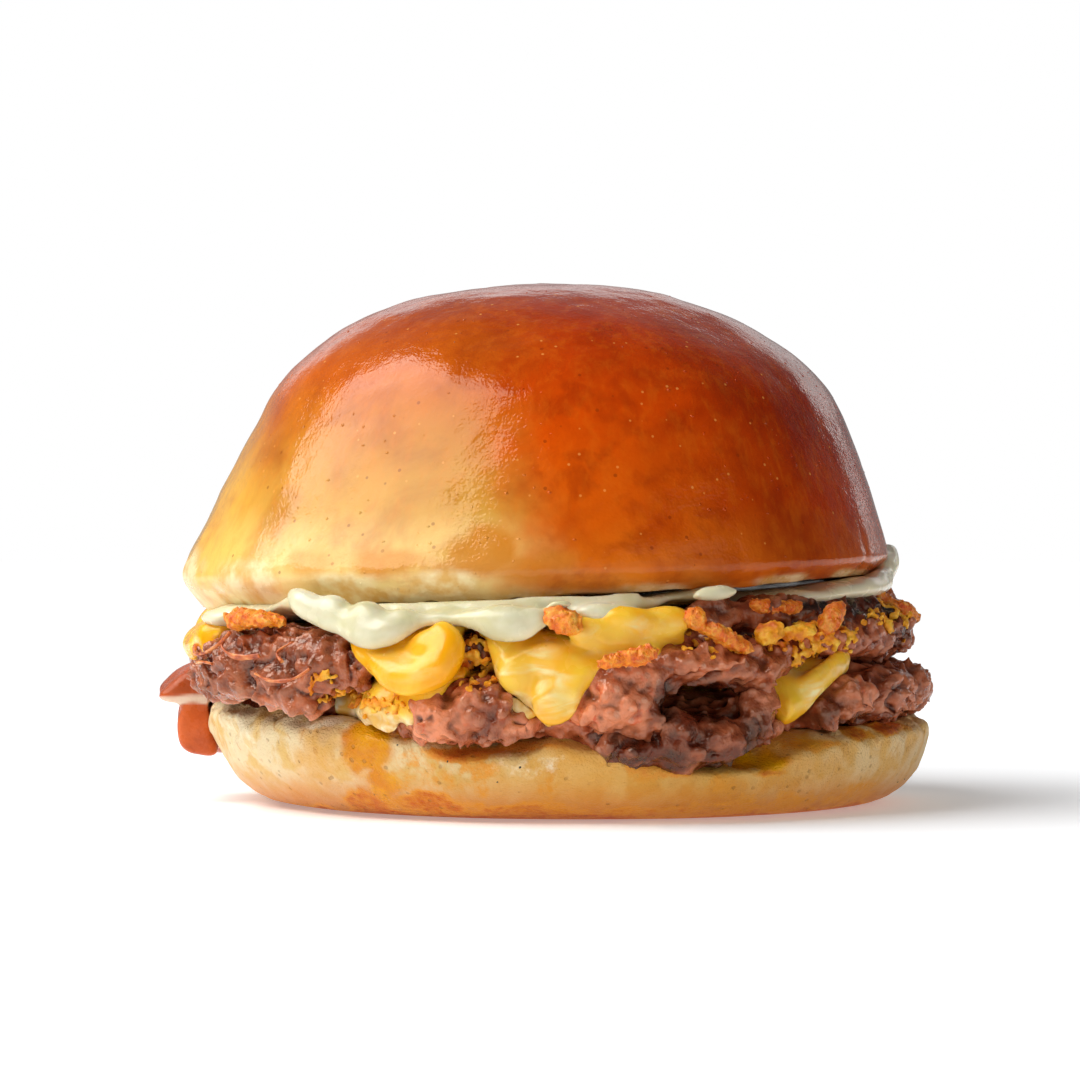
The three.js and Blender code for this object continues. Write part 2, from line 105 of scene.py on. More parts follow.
BACK_FROM, BACK_SPAN = 108, 150


def hidden_rows(count, seed, limits):
    """Rows for the back, which the front view hides: same kind of rim, every second one fuller."""
    draws, rows = dice(seed), []
    for i in range(count):
        place = next(draws) / DICE_TOP
        fuller = 0.55 if i % 2 else 0
        values = [mix(low, high, fuller + 0.45 * next(draws) / DICE_TOP) for low, high in limits]
        rows.append([BACK_FROM + BACK_SPAN * (i + 0.2 + 0.6 * place) / count, *values])
    return rows


print("a hidden row:", [round(v, 1) for v in hidden_rows(8, 11, [(55, 61), (18.6, 19.6)])[0]])

# %% [markdown]
# Nothing on food is quite smooth or quite even. One noise function gives every dent, crag and
# wobble: random values sit on a grid in space, and a point takes a soft average of the eight round
# it. The grid's spacing is the size of a lump. Values come from the grid's own numbers, so each run
# gives the same burger.
# %% Lumps
def lumps(points, size, seed=0):
    """Smooth noise from -1 to 1 at points in millimetres. One lump is about size across."""
    cell = np.asarray(points, float) / size + 0.37 * seed
    base = np.floor(cell).astype(np.int64)
    soft = ease(cell - base, 0, 1)
    total = np.zeros(len(cell))
    for corner in np.ndindex(2, 2, 2):
        x, y, z = (base + corner).T
        mixed = (x * 374761393 + y * 668265263 + z * 974634777 + seed * 362437) & 0xFFFFFFFF
        mixed = ((mixed ^ (mixed >> 13)) * 1274126177) & 0xFFFFFFFF
        weight = np.prod(np.where(corner, soft, 1 - soft), axis=1)
        total += weight * ((mixed ^ (mixed >> 16)) & 0xFFFF) / 65535
    return total * 2 - 1


def lumpy(points, *layers):
    """Lumps of several sizes at once. Each layer is how deep it goes, its size and its seed."""
    return sum(depth * lumps(points, size, seed) for depth, size, seed in layers)


print("lumps at three points:", lumps([[0, 0, 0], [3, 1, 2], [9, 9, 9]], 5).round(2))

# %% [markdown]
# Most layers are round, so most meshes start the same way: an outline from the axis out and back
# to the axis, repeated at every bearing, with the outline free to change on the way round. The
# faces are wound so that they point outwards, and both ends close on one point of the axis.
# %% Round skins
def smooth_line(control, count):
    """A soft curve through control points, as (bearings, points, 2), cut into even steps."""
    knots = np.concatenate([control[:, :1], control, control[:, -1:]], 1)
    lengths = np.linalg.norm(np.diff(control, axis=1), axis=2).mean(0)
    along = np.concatenate([[0], np.cumsum(lengths)])
    where = np.interp(np.linspace(0, along[-1], count), along, np.arange(len(along)))
    k = np.minimum(where.astype(int), len(along) - 2)
    t = (where - k)[None, :, None]
    a, b, c, d = (knots[:, k + step] for step in range(4))
    return 0.5 * (2 * b + (c - a) * t + (2 * a - 5 * b + 4 * c - d) * t**2 + (3 * b - a - 3 * c + d) * t**3)


def section(bearings, spots):
    """The same spots of an outline at every bearing, as (bearings, spots, 2)."""
    return np.stack([np.stack([out + 0 * bearings, height + 0 * bearings], -1) for out, height in spots], 1)


def revolved(bearings, outline):
    """Points and faces of a closed skin from an outline at each bearing, lowest point first."""
    turns, steps = outline.shape[:2]
    ring = polar(bearings[:, None] + 0 * outline[..., 0], outline[..., 0], outline[..., 1])
    points = np.vstack([ring[:, 1:-1].reshape(-1, 3), ring[:, 0].mean(0), ring[:, -1].mean(0)])
    wide = steps - 2
    i, j = (grid.ravel() for grid in np.meshgrid(np.arange(turns), np.arange(wide - 1), indexing="ij"))
    after = (i + 1) % turns
    faces = np.stack([i * wide + j, after * wide + j, after * wide + j + 1, i * wide + j + 1], -1).tolist()
    low, high = len(points) - 2, len(points) - 1
    for one in range(turns):
        two = (one + 1) % turns
        faces += [[low, two * wide, one * wide], [high, (one + 1) * wide - 1, (two + 1) * wide - 1]]
    return points, faces


def joined(shapes):
    """Several point-and-face sets as one."""
    points, faces, start = [], [], 0
    for some, these in shapes:
        points.append(some)
        faces += [[index + start for index in face] for face in these]
        start += len(some)
    return np.vstack(points), faces


test = revolved(np.arange(0, 360, 90.0), smooth_line(
    np.tile([[0, 0.0], [10, 0], [10, 5], [0, 5]], (4, 1, 1)), 9))
print("a small round skin:", len(test[0]), "points,", len(test[1]), "faces")

# %% [markdown]
# A few short helpers turn those numbers into Blender objects and back. Blur spreads a value over
# neighbouring points, which shows where a surface is hollow: there the neighbours stand further
# out than the point itself.
# %% Meshes
def linked(obj):
    bpy.context.scene.collection.objects.link(obj)
    return obj


def piece(name, points, faces, material):
    mesh = bpy.data.meshes.new(name)
    mesh.from_pydata((np.asarray(points) * MM).tolist(), [], faces)
    mesh.polygons.foreach_set("use_smooth", [True] * len(mesh.polygons))
    mesh.materials.append(material)
    return linked(bpy.data.objects.new(name, mesh))


def read(obj, what="co"):
    """A row of three numbers for each point of an object: its place, or the way it faces."""
    values = np.empty(len(obj.data.vertices) * 3, np.float32)
    obj.data.vertices.foreach_get(what, values)
    return values.reshape(-1, 3).astype(float) / (MM if what == "co" else 1)


def skin(obj):
    return read(obj), read(obj, "normal")


def move(obj, points):
    obj.data.vertices.foreach_set("co", (points * MM).astype(np.float32).ravel())
    obj.data.update()


def mark(obj, name, values):
    """Keeps one number for each point under a name, for a material or a node tree to read."""
    layers = obj.data.attributes
    layer = layers.get(name) or layers.new(name, "FLOAT", "POINT")
    layer.data.foreach_set("value", np.clip(values, -1, 1).astype(np.float32))


def edges_of(obj):
    pairs = np.empty(len(obj.data.edges) * 2, np.int32)
    obj.data.edges.foreach_get("vertices", pairs)
    return pairs.reshape(-1, 2)


def blurred(values, edges, rounds):
    """Each point takes the average of its neighbours, rounds times."""
    values = np.atleast_2d(np.asarray(values, float).T).T
    one, two = edges.T
    share = np.bincount(np.concatenate([one, two]), minlength=len(values))[:, None]
    for _ in range(rounds):
        near = [np.bincount(one, column[two], len(values)) + np.bincount(two, column[one], len(values))
                for column in values.T]
        values = 0.5 * values + 0.5 * np.stack(near, -1) / np.maximum(share, 1)
    return values


def pushed(obj, points, normals, push, rounds=0):
    """Each point goes out along its normal by push, and rounds of blur soften the skin after it."""
    move(obj, blurred(points + normals * push[:, None], edges_of(obj), rounds))
    return read(obj)


def mark_hollows(obj, name, rounds, depth):
    """Marks -1 on the tops of bumps to 1 in hollows, for bumps of about depth millimetres."""
    points, normals = skin(obj)
    away = blurred(points, edges_of(obj), rounds) - points
    mark(obj, name, np.sum(away * normals, 1) / depth)


def with_finish(obj, material):
    obj.data.materials.clear()
    obj.data.materials.append(material)
    obj.data.polygons.foreach_set("material_index", [0] * len(obj.data.polygons))
    return obj


def applied(obj):
    """The object with what its modifiers gave as its own plain mesh."""
    result = bpy.data.meshes.new_from_object(obj.evaluated_get(bpy.context.evaluated_depsgraph_get()))
    obj.modifiers.clear()
    obj.data = result
    result.polygons.foreach_set("use_smooth", [True] * len(result.polygons))
    return obj


def melted(obj, voxel, rounds):
    """Overlapping shapes run together into one skin, and its edges are softened."""
    remesh = obj.modifiers.new("Melt", "REMESH")
    remesh.mode, remesh.voxel_size = "VOXEL", voxel * MM
    with_finish(applied(obj), obj.data.materials[0])
    if rounds:
        move(obj, blurred(read(obj), edges_of(obj), rounds))
    return obj


def thinned(obj, kept, where):
    """Fewer triangles where the mark is high, such as inside the stack, where nothing is seen."""
    group = obj.vertex_groups.new(name="thin")
    for level in np.unique(where.round(1)):
        group.add(np.flatnonzero(where.round(1) == level).tolist(), float(level), "REPLACE")
    thin = obj.modifiers.new("Thin", "DECIMATE")
    thin.ratio, thin.vertex_group, thin.vertex_group_factor = kept, group.name, 1.0
    applied(obj)
    obj.vertex_groups.clear()
    obj.data.validate()
    return obj


def declare(obj, slot, *nodes):
    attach(obj, "root")
    if nodes:
        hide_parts(*nodes)
    points = read(obj)
    count = sum(len(face.vertices) - 2 for face in obj.data.polygons)
    print(f"{obj.name}: {count} triangles, {points.min(0).round(1)} to {points.max(0).round(1)}")


def ball(rings=10, turns=16):
    """A unit ball, as points and faces."""
    low = np.linspace(-np.pi / 2, np.pi / 2, rings + 1)
    outline = np.tile(np.stack([np.cos(low), np.sin(low)], -1), (turns, 1, 1))
    return revolved(np.linspace(0, 360, turns, endpoint=False), outline)


def turned(points, lean, bearing):
    """Points leaned to the right, then turned to face away from the axis at a bearing."""
    tip, turn = math.radians(lean), math.radians(bearing)
    x = points[:, 0] * math.cos(tip) + points[:, 2] * math.sin(tip)
    y = points[:, 1]
    z = points[:, 2] * math.cos(tip) - points[:, 0] * math.sin(tip)
    return np.stack([x * math.cos(turn) - y * math.sin(turn), x * math.sin(turn) + y * math.cos(turn), z], -1)


def blob(bearing, out, height, across, deep, tall, lean=0):
    """A ball squashed to half sizes: across the view from outside, in and out, and up."""
    points, faces = ball()
    place = polar(np.array([bearing]), out, height)
    return turned(points * [across, deep, tall], lean, bearing) + place, faces


def blobs(*rows):
    return [blob(*row) for row in rows]


def trail(route, steps, flat=1.0):
    """Overlapping balls along a route of bearing, out, height and radius: a drip or a rolled edge."""
    line = smooth_line(np.array(route, float)[None], steps)[0]
    return [blob(at, out, height, size, size * flat, size) for at, out, height, size in line]


print("a blob:", len(blob(0, 60, 20, 5, 3, 2)[0]), "points")

# %% [markdown]
# Every finish is a small tree of nodes. `Paint` keeps the writing short: it makes a material with a
# Principled shader, and its methods add one node each and hand back the socket that comes out.
# Sizes are given in millimetres and turned into the noise texture's own scale.
# %% Paint
def colour(red, green, blue):
    """A colour as a screen shows it, 0 to 255, turned into light."""
    return tuple((v / 255 / 12.92 if v <= 10 else ((v / 255 + 0.055) / 1.055) ** 2.4) for v in (red, green,
        blue)) + (1.0,)


class Paint:
    """Adds nodes to a tree. A value given to a node is a number, or another node's socket."""
    def __init__(self, tree):
        self.tree = tree

    def add(self, kind, inputs=(), out=0, **settings):
        node = self.tree.nodes.new(kind)
        for name, value in settings.items():
            setattr(node, name, value)
        for name, value in dict(inputs).items():
            socket = node.inputs[name]
            if isinstance(value, bpy.types.NodeSocket):
                self.tree.links.new(value, socket)
            else:
                socket.default_value = value
        return node.outputs[out]

    def maths(self, operation, one, two=0.0):
        return self.add("ShaderNodeMath", {0: one, 1: two}, operation=operation)

    def plus(self, one, two):
        return self.maths("ADD", one, two)

    def times(self, one, two):
        return self.maths("MULTIPLY", one, two)

    def place(self):
        return self.add("ShaderNodeTexCoord", out="Object")

    def axis(self, which):
        return self.times(self.add("ShaderNodeSeparateXYZ", {0: self.place()}, out=which), 1000.0)

    def noise(self, size, detail=2.0, rough=0.5, warp=0.0, stretch=(1, 1, 1)):
        spot = self.add("ShaderNodeMapping", {"Vector": self.place(), "Scale": stretch})
        kind = {"Scale": 1 / (size * MM), "Detail": detail, "Roughness": rough, "Distortion": warp}
        return self.add("ShaderNodeTexNoise", {"Vector": spot, **kind})

    def ragged(self, size, detail, rough, depth):
        """Noise about zero, which frays the edge of a mark or a drift when it is added to it."""
        return self.times(self.maths("SUBTRACT", self.noise(size, detail, rough), 0.5), depth)

    def step(self, value, low, high, start=0.0, end=1.0):
        limits = {"From Min": low, "From Max": high, "To Min": start, "To Max": end}
        return self.add("ShaderNodeMapRange", {"Value": value, **limits}, interpolation_type="SMOOTHSTEP")

    def patchy(self, size, low=0.35, high=0.65, start=0.0, end=1.0, detail=2):
        return self.step(self.noise(size, detail), low, high, start, end)

    def marked(self, name):
        return self.add("ShaderNodeAttribute", attribute_name=name, out="Fac")

    def ramp(self, value, stops):
        out = self.add("ShaderNodeValToRGB", {0: value})
        bar = out.node.color_ramp
        while len(bar.elements) < len(stops):
            bar.elements.new(0.5)
        for element, (at, shade) in zip(bar.elements, stops):
            element.position, element.color = at, colour(*shade)
        return out

    def blend(self, share, one, two, how="MIX"):
        both = [colour(*c) if isinstance(c, tuple) else c for c in (one, two)]
        return self.add(
            "ShaderNodeMix", {0: share, 6: both[0], 7: both[1]}, out=2, data_type="RGBA", blend_type=how)

    def coated(self, base, *coats):
        """A colour under coats. Each coat is its share and colour, and how it mixes if that isn't plain."""
        for share, shade, *how in coats:
            base = self.blend(share, base, shade, *how)
        return base

    def group(self, tree, **inputs):
        return self.add("ShaderNodeGroup", inputs, node_tree=tree)

    def mottle(self, size, low, high, share=None):
        cover = self.group(MOTTLE, Size=size, Low=low, High=high)
        return cover if share is None else self.times(cover, share)

    def specks(self, size, reach, chosen, share=None):
        cover = self.group(SPECKS, Size=size, Reach=reach, Share=chosen)
        return cover if share is None else self.times(cover, share)

    def relief(self, size, grit):
        return self.group(RELIEF, Size=size, Grit=grit)

    def bump(self, height, depth, strength=1.0):
        return self.add("ShaderNodeBump", {"Height": height, "Distance": depth * MM, "Strength": strength})


def finish_named(name, **plain):
    """A material with plain Principled values, and the Paint that adds its nodes."""
    material = bpy.data.materials.new(name)
    material.use_nodes = True
    shader = material.node_tree.nodes["Principled BSDF"]
    for socket, value in plain.items():
        shader.inputs[socket.replace("_", " ")].default_value = value
    paint = Paint(material.node_tree)

    def connect(**sockets):
        for socket, value in sockets.items():
            material.node_tree.links.new(value, shader.inputs[socket.replace("_", " ")])
        print("finish:", name, len(material.node_tree.nodes), "nodes")

    return material, paint, connect


# %% [markdown]
# Three effects come back in most finishes, so each is a group that is built once: a soft mottle
# that makes one colour drift into another, small specks such as pepper, pores and browned flecks,
# and a fine wet relief that breaks up a highlight as fat or glaze does.
# %% Shared effects
def group_named(name, sockets, output):
    tree = bpy.data.node_groups.new(name, "ShaderNodeTree")
    for label, value in sockets.items():
        tree.interface.new_socket(label, in_out="INPUT", socket_type="NodeSocketFloat").default_value = value
    tree.interface.new_socket(output, in_out="OUTPUT", socket_type="NodeSocketFloat")
    inputs = tree.nodes.new("NodeGroupInput").outputs
    paint = Paint(tree)
    spot = {"Vector": paint.place(), "Scale": paint.maths("DIVIDE", 1000.0, inputs["Size"])}
    return tree, paint, inputs, spot


def close_group(tree, value):
    tree.links.new(value, tree.nodes.new("NodeGroupOutput").inputs[0])
    return tree


tree, paint, given, spot = group_named("Mottle", {"Size": 8.0, "Low": 0.4, "High": 0.6}, "Mask")
cloud = paint.add("ShaderNodeTexNoise", {**spot, "Detail": 4.0, "Roughness": 0.55, "Distortion": 0.4})
MOTTLE = close_group(tree, paint.step(cloud, given["Low"], given["High"]))

tree, paint, given, spot = group_named("Specks", {"Size": 2.0, "Reach": 0.2, "Share": 0.5}, "Mask")
spots = paint.add("ShaderNodeTexVoronoi", {**spot, "Randomness": 1.0})
draw = paint.add("ShaderNodeSeparateColor", {0: spots.node.outputs["Color"]})
chosen = paint.maths("LESS_THAN", draw, given["Share"])
dot = paint.step(spots, given["Reach"], paint.times(given["Reach"], 0.55))
SPECKS = close_group(tree, paint.times(dot, chosen))

tree, paint, given, spot = group_named("Wet relief", {"Size": 1.0, "Grit": 0.5}, "Height")
broad = paint.add("ShaderNodeTexNoise", {**spot, "Detail": 2.0, "Roughness": 0.6})
fine = paint.add("ShaderNodeTexNoise", {**spot, "Scale": paint.times(spot["Scale"], 3.7), "Detail": 1.0})
RELIEF = close_group(tree, paint.plus(broad, paint.times(fine, given["Grit"])))
print("groups:", MOTTLE.name, SPECKS.name, RELIEF.name)

# %% [markdown]
# One Geometry Nodes tree scatters everything that is small and loose: the grains of the ground
# meat, crumbs of onion, blisters in the glaze and pepper. It drops points on a surface where a mark
# allows it, puts a lumpy ball on each, turns and squashes it at random and pushes its skin about.
# Realize Instances at the end makes them real geometry, because instances don't survive an export.
# %% Scatter tree
def geometry_tree(name, *sockets):
    """An empty Geometry Nodes tree with named inputs, each a label, a kind of socket and a start value."""
    tree = bpy.data.node_groups.new(name, "GeometryNodeTree")
    for side in ("OUTPUT", "INPUT"):
        tree.interface.new_socket("Geometry", in_out=side, socket_type="NodeSocketGeometry")
    for label, kind, *value in sockets:
        socket = tree.interface.new_socket(label, in_out="INPUT", socket_type="NodeSocket" + kind)
        if value:
            socket.default_value = value[0]
    return tree, Paint(tree), tree.nodes.new("NodeGroupInput").outputs


def scatter_tree():
    tree, nodes, given = geometry_tree(
        "Scatter", ("Where", "String", "where"), ("Per square mm", "Float", 0.1),
        ("Smallest", "Vector", (1, 1, 1)), ("Largest", "Vector", (2, 2, 2)), ("Tumble", "Float", 1.0),
        ("Raggedness", "Float", 0.0), ("Ragged size", "Float", 1.0), ("Roundness", "Int", 2),
        ("Seed", "Int", 1), ("Keep surface", "Bool", False), ("Sink", "Float", 0.0), ("Material", "Material"))
    add = nodes.add

    def scaled(vector, factor):
        return add("ShaderNodeVectorMath", {0: vector, "Scale": factor}, operation="SCALE")

    def drawn(low, high):
        limits = {"Min": low, "Max": high, "Seed": given["Seed"]}
        return add("FunctionNodeRandomValue", limits, data_type="FLOAT_VECTOR")

    mask = add("GeometryNodeInputNamedAttribute", {"Name": given["Where"]}, data_type="FLOAT")
    density = nodes.times(mask, nodes.times(given["Per square mm"], 1e6))
    spots = add("GeometryNodeDistributePointsOnFaces", {
        "Mesh": given["Geometry"], "Density": density, "Seed": given["Seed"]})
    stand, normal = spots.node.outputs["Rotation"], spots.node.outputs["Normal"]
    sunk = scaled(normal, nodes.times(given["Sink"], -MM))
    spots = add("GeometryNodeSetPosition", {"Geometry": spots, "Offset": sunk})
    any_turn = drawn((-3.1, -3.1, -3.1), (3.1, 3.1, 3.1))
    some_turn = add("FunctionNodeEulerToRotation", {0: scaled(any_turn, given["Tumble"])})
    turned_so = {"Rotation": stand, "Rotate By": some_turn}
    turns = add("FunctionNodeRotateRotation", turned_so, rotation_space="LOCAL")
    size = drawn(given["Smallest"], given["Largest"])
    grain = add("GeometryNodeMeshIcoSphere", {"Radius": 1.0, "Subdivisions": given["Roundness"]})
    grains = add("GeometryNodeInstanceOnPoints", {
        "Points": spots, "Instance": grain, "Rotation": turns, "Scale": scaled(size, MM)})
    grains = add("GeometryNodeRealizeInstances", {"Geometry": grains})
    spot = scaled(add("GeometryNodeInputPosition"), nodes.maths("DIVIDE", 1000.0, given["Ragged size"]))
    push = add("ShaderNodeTexNoise", {"Vector": spot, "Scale": 1.0, "Detail": 2.0}, out="Color")
    push = add("ShaderNodeVectorMath", {0: push, 1: (0.5, 0.5, 0.5)}, operation="SUBTRACT")
    push = scaled(push, nodes.times(given["Raggedness"], 2 * MM))
    grains = add("GeometryNodeSetPosition", {"Geometry": grains, "Offset": push})
    grains = add("GeometryNodeSetShadeSmooth", {"Geometry": grains})
    both = add("GeometryNodeJoinGeometry", {0: given["Geometry"]})
    tree.links.new(grains, both.node.inputs[0])
    choice = {"Switch": given["Keep surface"], "False": grains, "True": both}
    kept = add("GeometryNodeSwitch", choice, input_type="GEOMETRY")
    return close_group(tree, add("GeometryNodeSetMaterial", {
        "Geometry": kept, "Material": given["Material"]}))


def grown(obj, name, tree, **inputs):
    """Hangs a Geometry Nodes tree on an object, with its inputs set by their identifiers."""
    modifier = obj.modifiers.new(name, "NODES")
    modifier.node_group = tree
    for label, value in inputs.items():
        modifier[tree.interface.items_tree[label.replace("_", " ")].identifier] = value
    return obj


SCATTER = scatter_tree()


def scattered(obj, name, **inputs):
    """Runs the scatter tree on an object's surface. The grains join it, or become an object of their own."""
    if not inputs.get("Keep_surface"):
        obj = linked(bpy.data.objects.new(name, obj.data.copy()))
    settings = {"Where": name, "Material": obj.data.materials[0], **inputs}
    return with_finish(applied(grown(obj, name, SCATTER, **settings)), settings["Material"])


print("scatter tree:", len(SCATTER.nodes), "nodes")

# %% [markdown]
# ## Finishes
# Crust first. An egg-glazed bun bakes dark where it stands highest and stays pale where it touched
# its neighbour in the tin, here at the left and low down. So the colour runs with height, in three
# ramps for left, middle and right, and a mottle lets one drift into the next. The gloss is the
# glaze: low roughness over a fine relief, which frays the edge of every reflection.
# %% Crust
crust, paint, connect = finish_named(
    "Crust", Roughness=0.1, Specular_IOR_Level=0.34, Specular_Tint=(1.0, 0.88, 0.66, 1.0))
tall = paint.step(paint.plus(paint.axis("Z"), paint.times(paint.noise(14, 3), 9.0)), 33.0, 92.0)
middle = paint.ramp(tall, [
    (0.0, (230, 156, 60)), (0.07, (224, 112, 18)), (0.2, (220, 94, 8)), (0.6, (216, 74, 2)),
    (0.9, (172, 52, 4)), (1.0, (156, 46, 6))])
left = paint.ramp(tall, [
    (0.0, (238, 213, 152)), (0.1, (238, 198, 114)), (0.26, (208, 150, 60)), (0.5, (198, 122, 36)),
    (0.74, (198, 92, 12)), (1.0, (160, 56, 8))])
right = paint.ramp(tall, [
    (0.0, (206, 126, 50)), (0.07, (190, 84, 14)), (0.25, (174, 50, 0)), (0.7, (150, 34, 0)),
    (1.0, (138, 40, 4))])
bare_crumb = paint.ramp(paint.noise(3.4, 3), [(0.35, (226, 176, 98)), (0.6, (246, 226, 176))])
drift = paint.plus(paint.axis("X"), paint.ragged(20, 4, 0.6, 34.0))
scorched = paint.times(paint.step(drift, -16.0, 8.0), paint.mottle(6.0, 0.46, 0.72))
streaks = paint.step(paint.noise(2.2, 4, 0.65, 0.3, (1, 1, 0.35)), 0.42, 0.72)
baked = paint.coated(
    left,
    (paint.step(paint.axis("X"), -41.0, -53.0, 0.0, 0.7), (250, 190, 66)),
    (paint.step(drift, -15.0, 5.0), middle),
    (paint.step(drift, 8.0, 46.0), right),
    (paint.mottle(11.0, 0.42, 0.75, 0.4), (170, 62, 12), "MULTIPLY"),
    (paint.times(scorched, 0.5), (150, 42, 4)),
    (paint.times(streaks, 0.2), (226, 118, 24)),
    (paint.specks(1.9, 0.15, 0.3, 0.5), (244, 168, 82)),
    (paint.specks(2.7, 0.14, 0.3, 0.5), (120, 40, 6)),
    (paint.marked("amber"), (206, 122, 24)),
    (paint.marked("bare"), bare_crumb))
brushed = paint.times(paint.noise(1.5, 2, 0.5, 0.0, (0.1, 0.1, 1)), paint.step(tall, 0.55, 0.9, 0.0, 0.7))
relief = paint.plus(paint.relief(1.7, 0.5), brushed)
shine = paint.plus(paint.step(relief, 0.45, 1.0, 0.045, 0.12), paint.times(paint.marked("bare"), 0.3))
connect(Base_Color=baked, Normal=paint.bump(relief, 0.12, 0.75), Roughness=shine)

# %% [markdown]
# The heel is the same dough with its cut side up and hardly any crust: cream crumb, floury in
# places, orange where it sat on the hot plate, and stained where fat and cheese ran down it. The
# stains follow the filling, so they are marks kept on the mesh, and the finish reads them.
# %% Crumb
crumb, paint, connect = finish_named(
    "Crumb", Roughness=0.55, Specular_IOR_Level=0.35, Specular_Tint=(1.0, 0.9, 0.75, 1.0))
frayed = paint.ragged(1.6, 4, 0.7, 1.1)
toast = paint.plus(paint.marked("toast"), frayed)
flush = paint.plus(paint.marked("flush"), frayed)
grease = paint.step(paint.plus(paint.marked("grease"), paint.times(frayed, 0.5)), 0.08, 0.85)
torn_lines = paint.step(paint.noise(2.2, 4, 0.65, 1.5, (1, 1, 0.45)), 0.56, 0.68)
flour = paint.ramp(paint.noise(2.4, 3), [(0.4, (236, 208, 144)), (0.6, (250, 238, 204))])
fat = paint.ramp(paint.noise(5, 3), [(0.35, (212, 122, 0)), (0.65, (232, 162, 0))])
pores = paint.specks(1.7, 0.22, 0.35)
# Left to right across the heel. The last, paler stop at the right edge is partly the crumb's cream and partly
# painted light where the lamps leave it in shade.
wheat = paint.ramp(paint.step(paint.axis("X"), -55.0, 62.0), [
    (0.0, (236, 217, 174)), (0.3, (228, 202, 146)), (0.55, (238, 196, 114)), (0.8, (226, 174, 84)),
    (1.0, (240, 208, 152))])
dough = paint.coated(
    wheat,
    (paint.mottle(5.0, 0.42, 0.66), (246, 222, 166), "MULTIPLY"),
    (paint.mottle(15.0, 0.45, 0.62, 0.6), (226, 166, 78)),
    (paint.step(paint.axis("Z"), 8.0, 0.8, 0.0, 0.8), (210, 122, 36)),
    (paint.times(torn_lines, paint.times(paint.marked("torn"), 0.6)), (206, 140, 60)),
    (paint.step(toast, 0.12, 0.6), (228, 154, 48)),
    (paint.step(toast, 0.5, 1.05), (202, 94, 14)),
    (paint.step(toast, 0.95, 1.4), (120, 46, 14)),
    (paint.step(flush, 0.2, 0.6), (234, 160, 60)),
    (paint.step(flush, 0.5, 1.2), (226, 108, 30)),
    (paint.step(paint.plus(paint.marked("cream"), frayed), 0.3, 0.7), flour),
    (grease, fat),
    (paint.times(pores, 0.35), (168, 112, 50)))
relief = paint.maths("SUBTRACT", paint.relief(1.3, 0.9), pores)
connect(
    Base_Color=dough, Normal=paint.bump(relief, 0.34, 0.8), Roughness=paint.step(grease, 0.0, 1.0, 0.55, 0.2))

# %% [markdown]
# Ground beef is a warm brown, pink where it is least done and near black where it seared; the gaps
# under the crown and between the patties are painted near black too, as shade. It is wet with fat,
# so it glitters: a low roughness over a coarse and a fine relief. The hollows between grains, small
# and large, are painted darker as shade and juice, and the grain tops paler as painted light.
# %% Meat
meat, paint, connect = finish_named(
    "Meat", Roughness=0.2, Specular_IOR_Level=0.75, Specular_Tint=(1.0, 0.81, 0.66, 1.0))
pink, hollows = paint.marked("pink"), paint.marked("hollow")
# Near black where it seared, and the same dark is painted shade in the gaps under the crown and between the
# patties.
seared_and_shaded = paint.times(paint.marked("char_and_shade"), paint.step(paint.noise(2.6, 4), 0.3, 0.5, 0.5, 1.0))
brown = paint.ramp(paint.noise(5, 4, 0.65), [
    (0.3, (122, 50, 26)), (0.45, (156, 76, 44)), (0.58, (184, 98, 60)), (0.72, (206, 130, 92))])
brown = paint.coated(
    brown,
    (paint.times(pink, paint.step(paint.noise(3.2, 3), 0.3, 0.6, 0.6, 1.0)), (236, 142, 98)),
    (paint.mottle(3.6, 0.55, 0.68, pink), (214, 74, 28)),
    (paint.specks(2.2, 0.3, 0.4, 0.4), (216, 170, 142)),
    # Painted shade: large and small hollows darker. Then a painted highlight makes the grain tops paler.
    (paint.step(paint.marked("deep"), -0.15, 0.7), (74, 22, 8)),
    (paint.step(hollows, -0.1, 0.95, 0.0, 0.78), (78, 22, 9)),
    (paint.times(paint.step(hollows, 0.0, -0.7), 0.3), (214, 148, 114)),
    (seared_and_shaded, paint.ramp(paint.noise(3.4, 3), [(0.4, (28, 10, 7)), (0.6, (98, 32, 10))])))
juicy = paint.bump(paint.relief(1.5, 0.35), 0.45, 0.8)
connect(Base_Color=brown, Normal=juicy, Roughness=paint.patchy(2.2, 0.38, 0.62, 0.05, 0.2))

# %% [markdown]
# Melted cheese and sauce are smooth, thick and a little see-through, so light goes in and comes out
# again nearby. Subsurface on the shader does that. Colour still varies: cheese is deep orange-yellow
# where it is thick and at its rim, and lighter where it stretched thin; its hollows are a darker
# orange, where it pools thicker and where painted shade falls. The sauce is painted darker and
# yellower in its folds as shade, and lighter towards the right as painted light, where the crown
# shades it.
# %% Cheese and sauce
cheese, paint, connect = finish_named(
    "Cheese", Roughness=0.22, Specular_Tint=(1.0, 0.93, 0.75, 1.0), Specular_IOR_Level=0.5,
    Subsurface_Weight=0.25, Subsurface_Radius=(1.0, 0.5, 0.12), Subsurface_Scale=0.0016)
streak = paint.step(paint.noise(5.6, 3, 0.5, 1.2, (0.7, 1, 1.9)), 0.42, 0.78)
smear = paint.ramp(paint.noise(2.4, 3), [(0.38, (224, 176, 80)), (0.6, (244, 230, 188))])
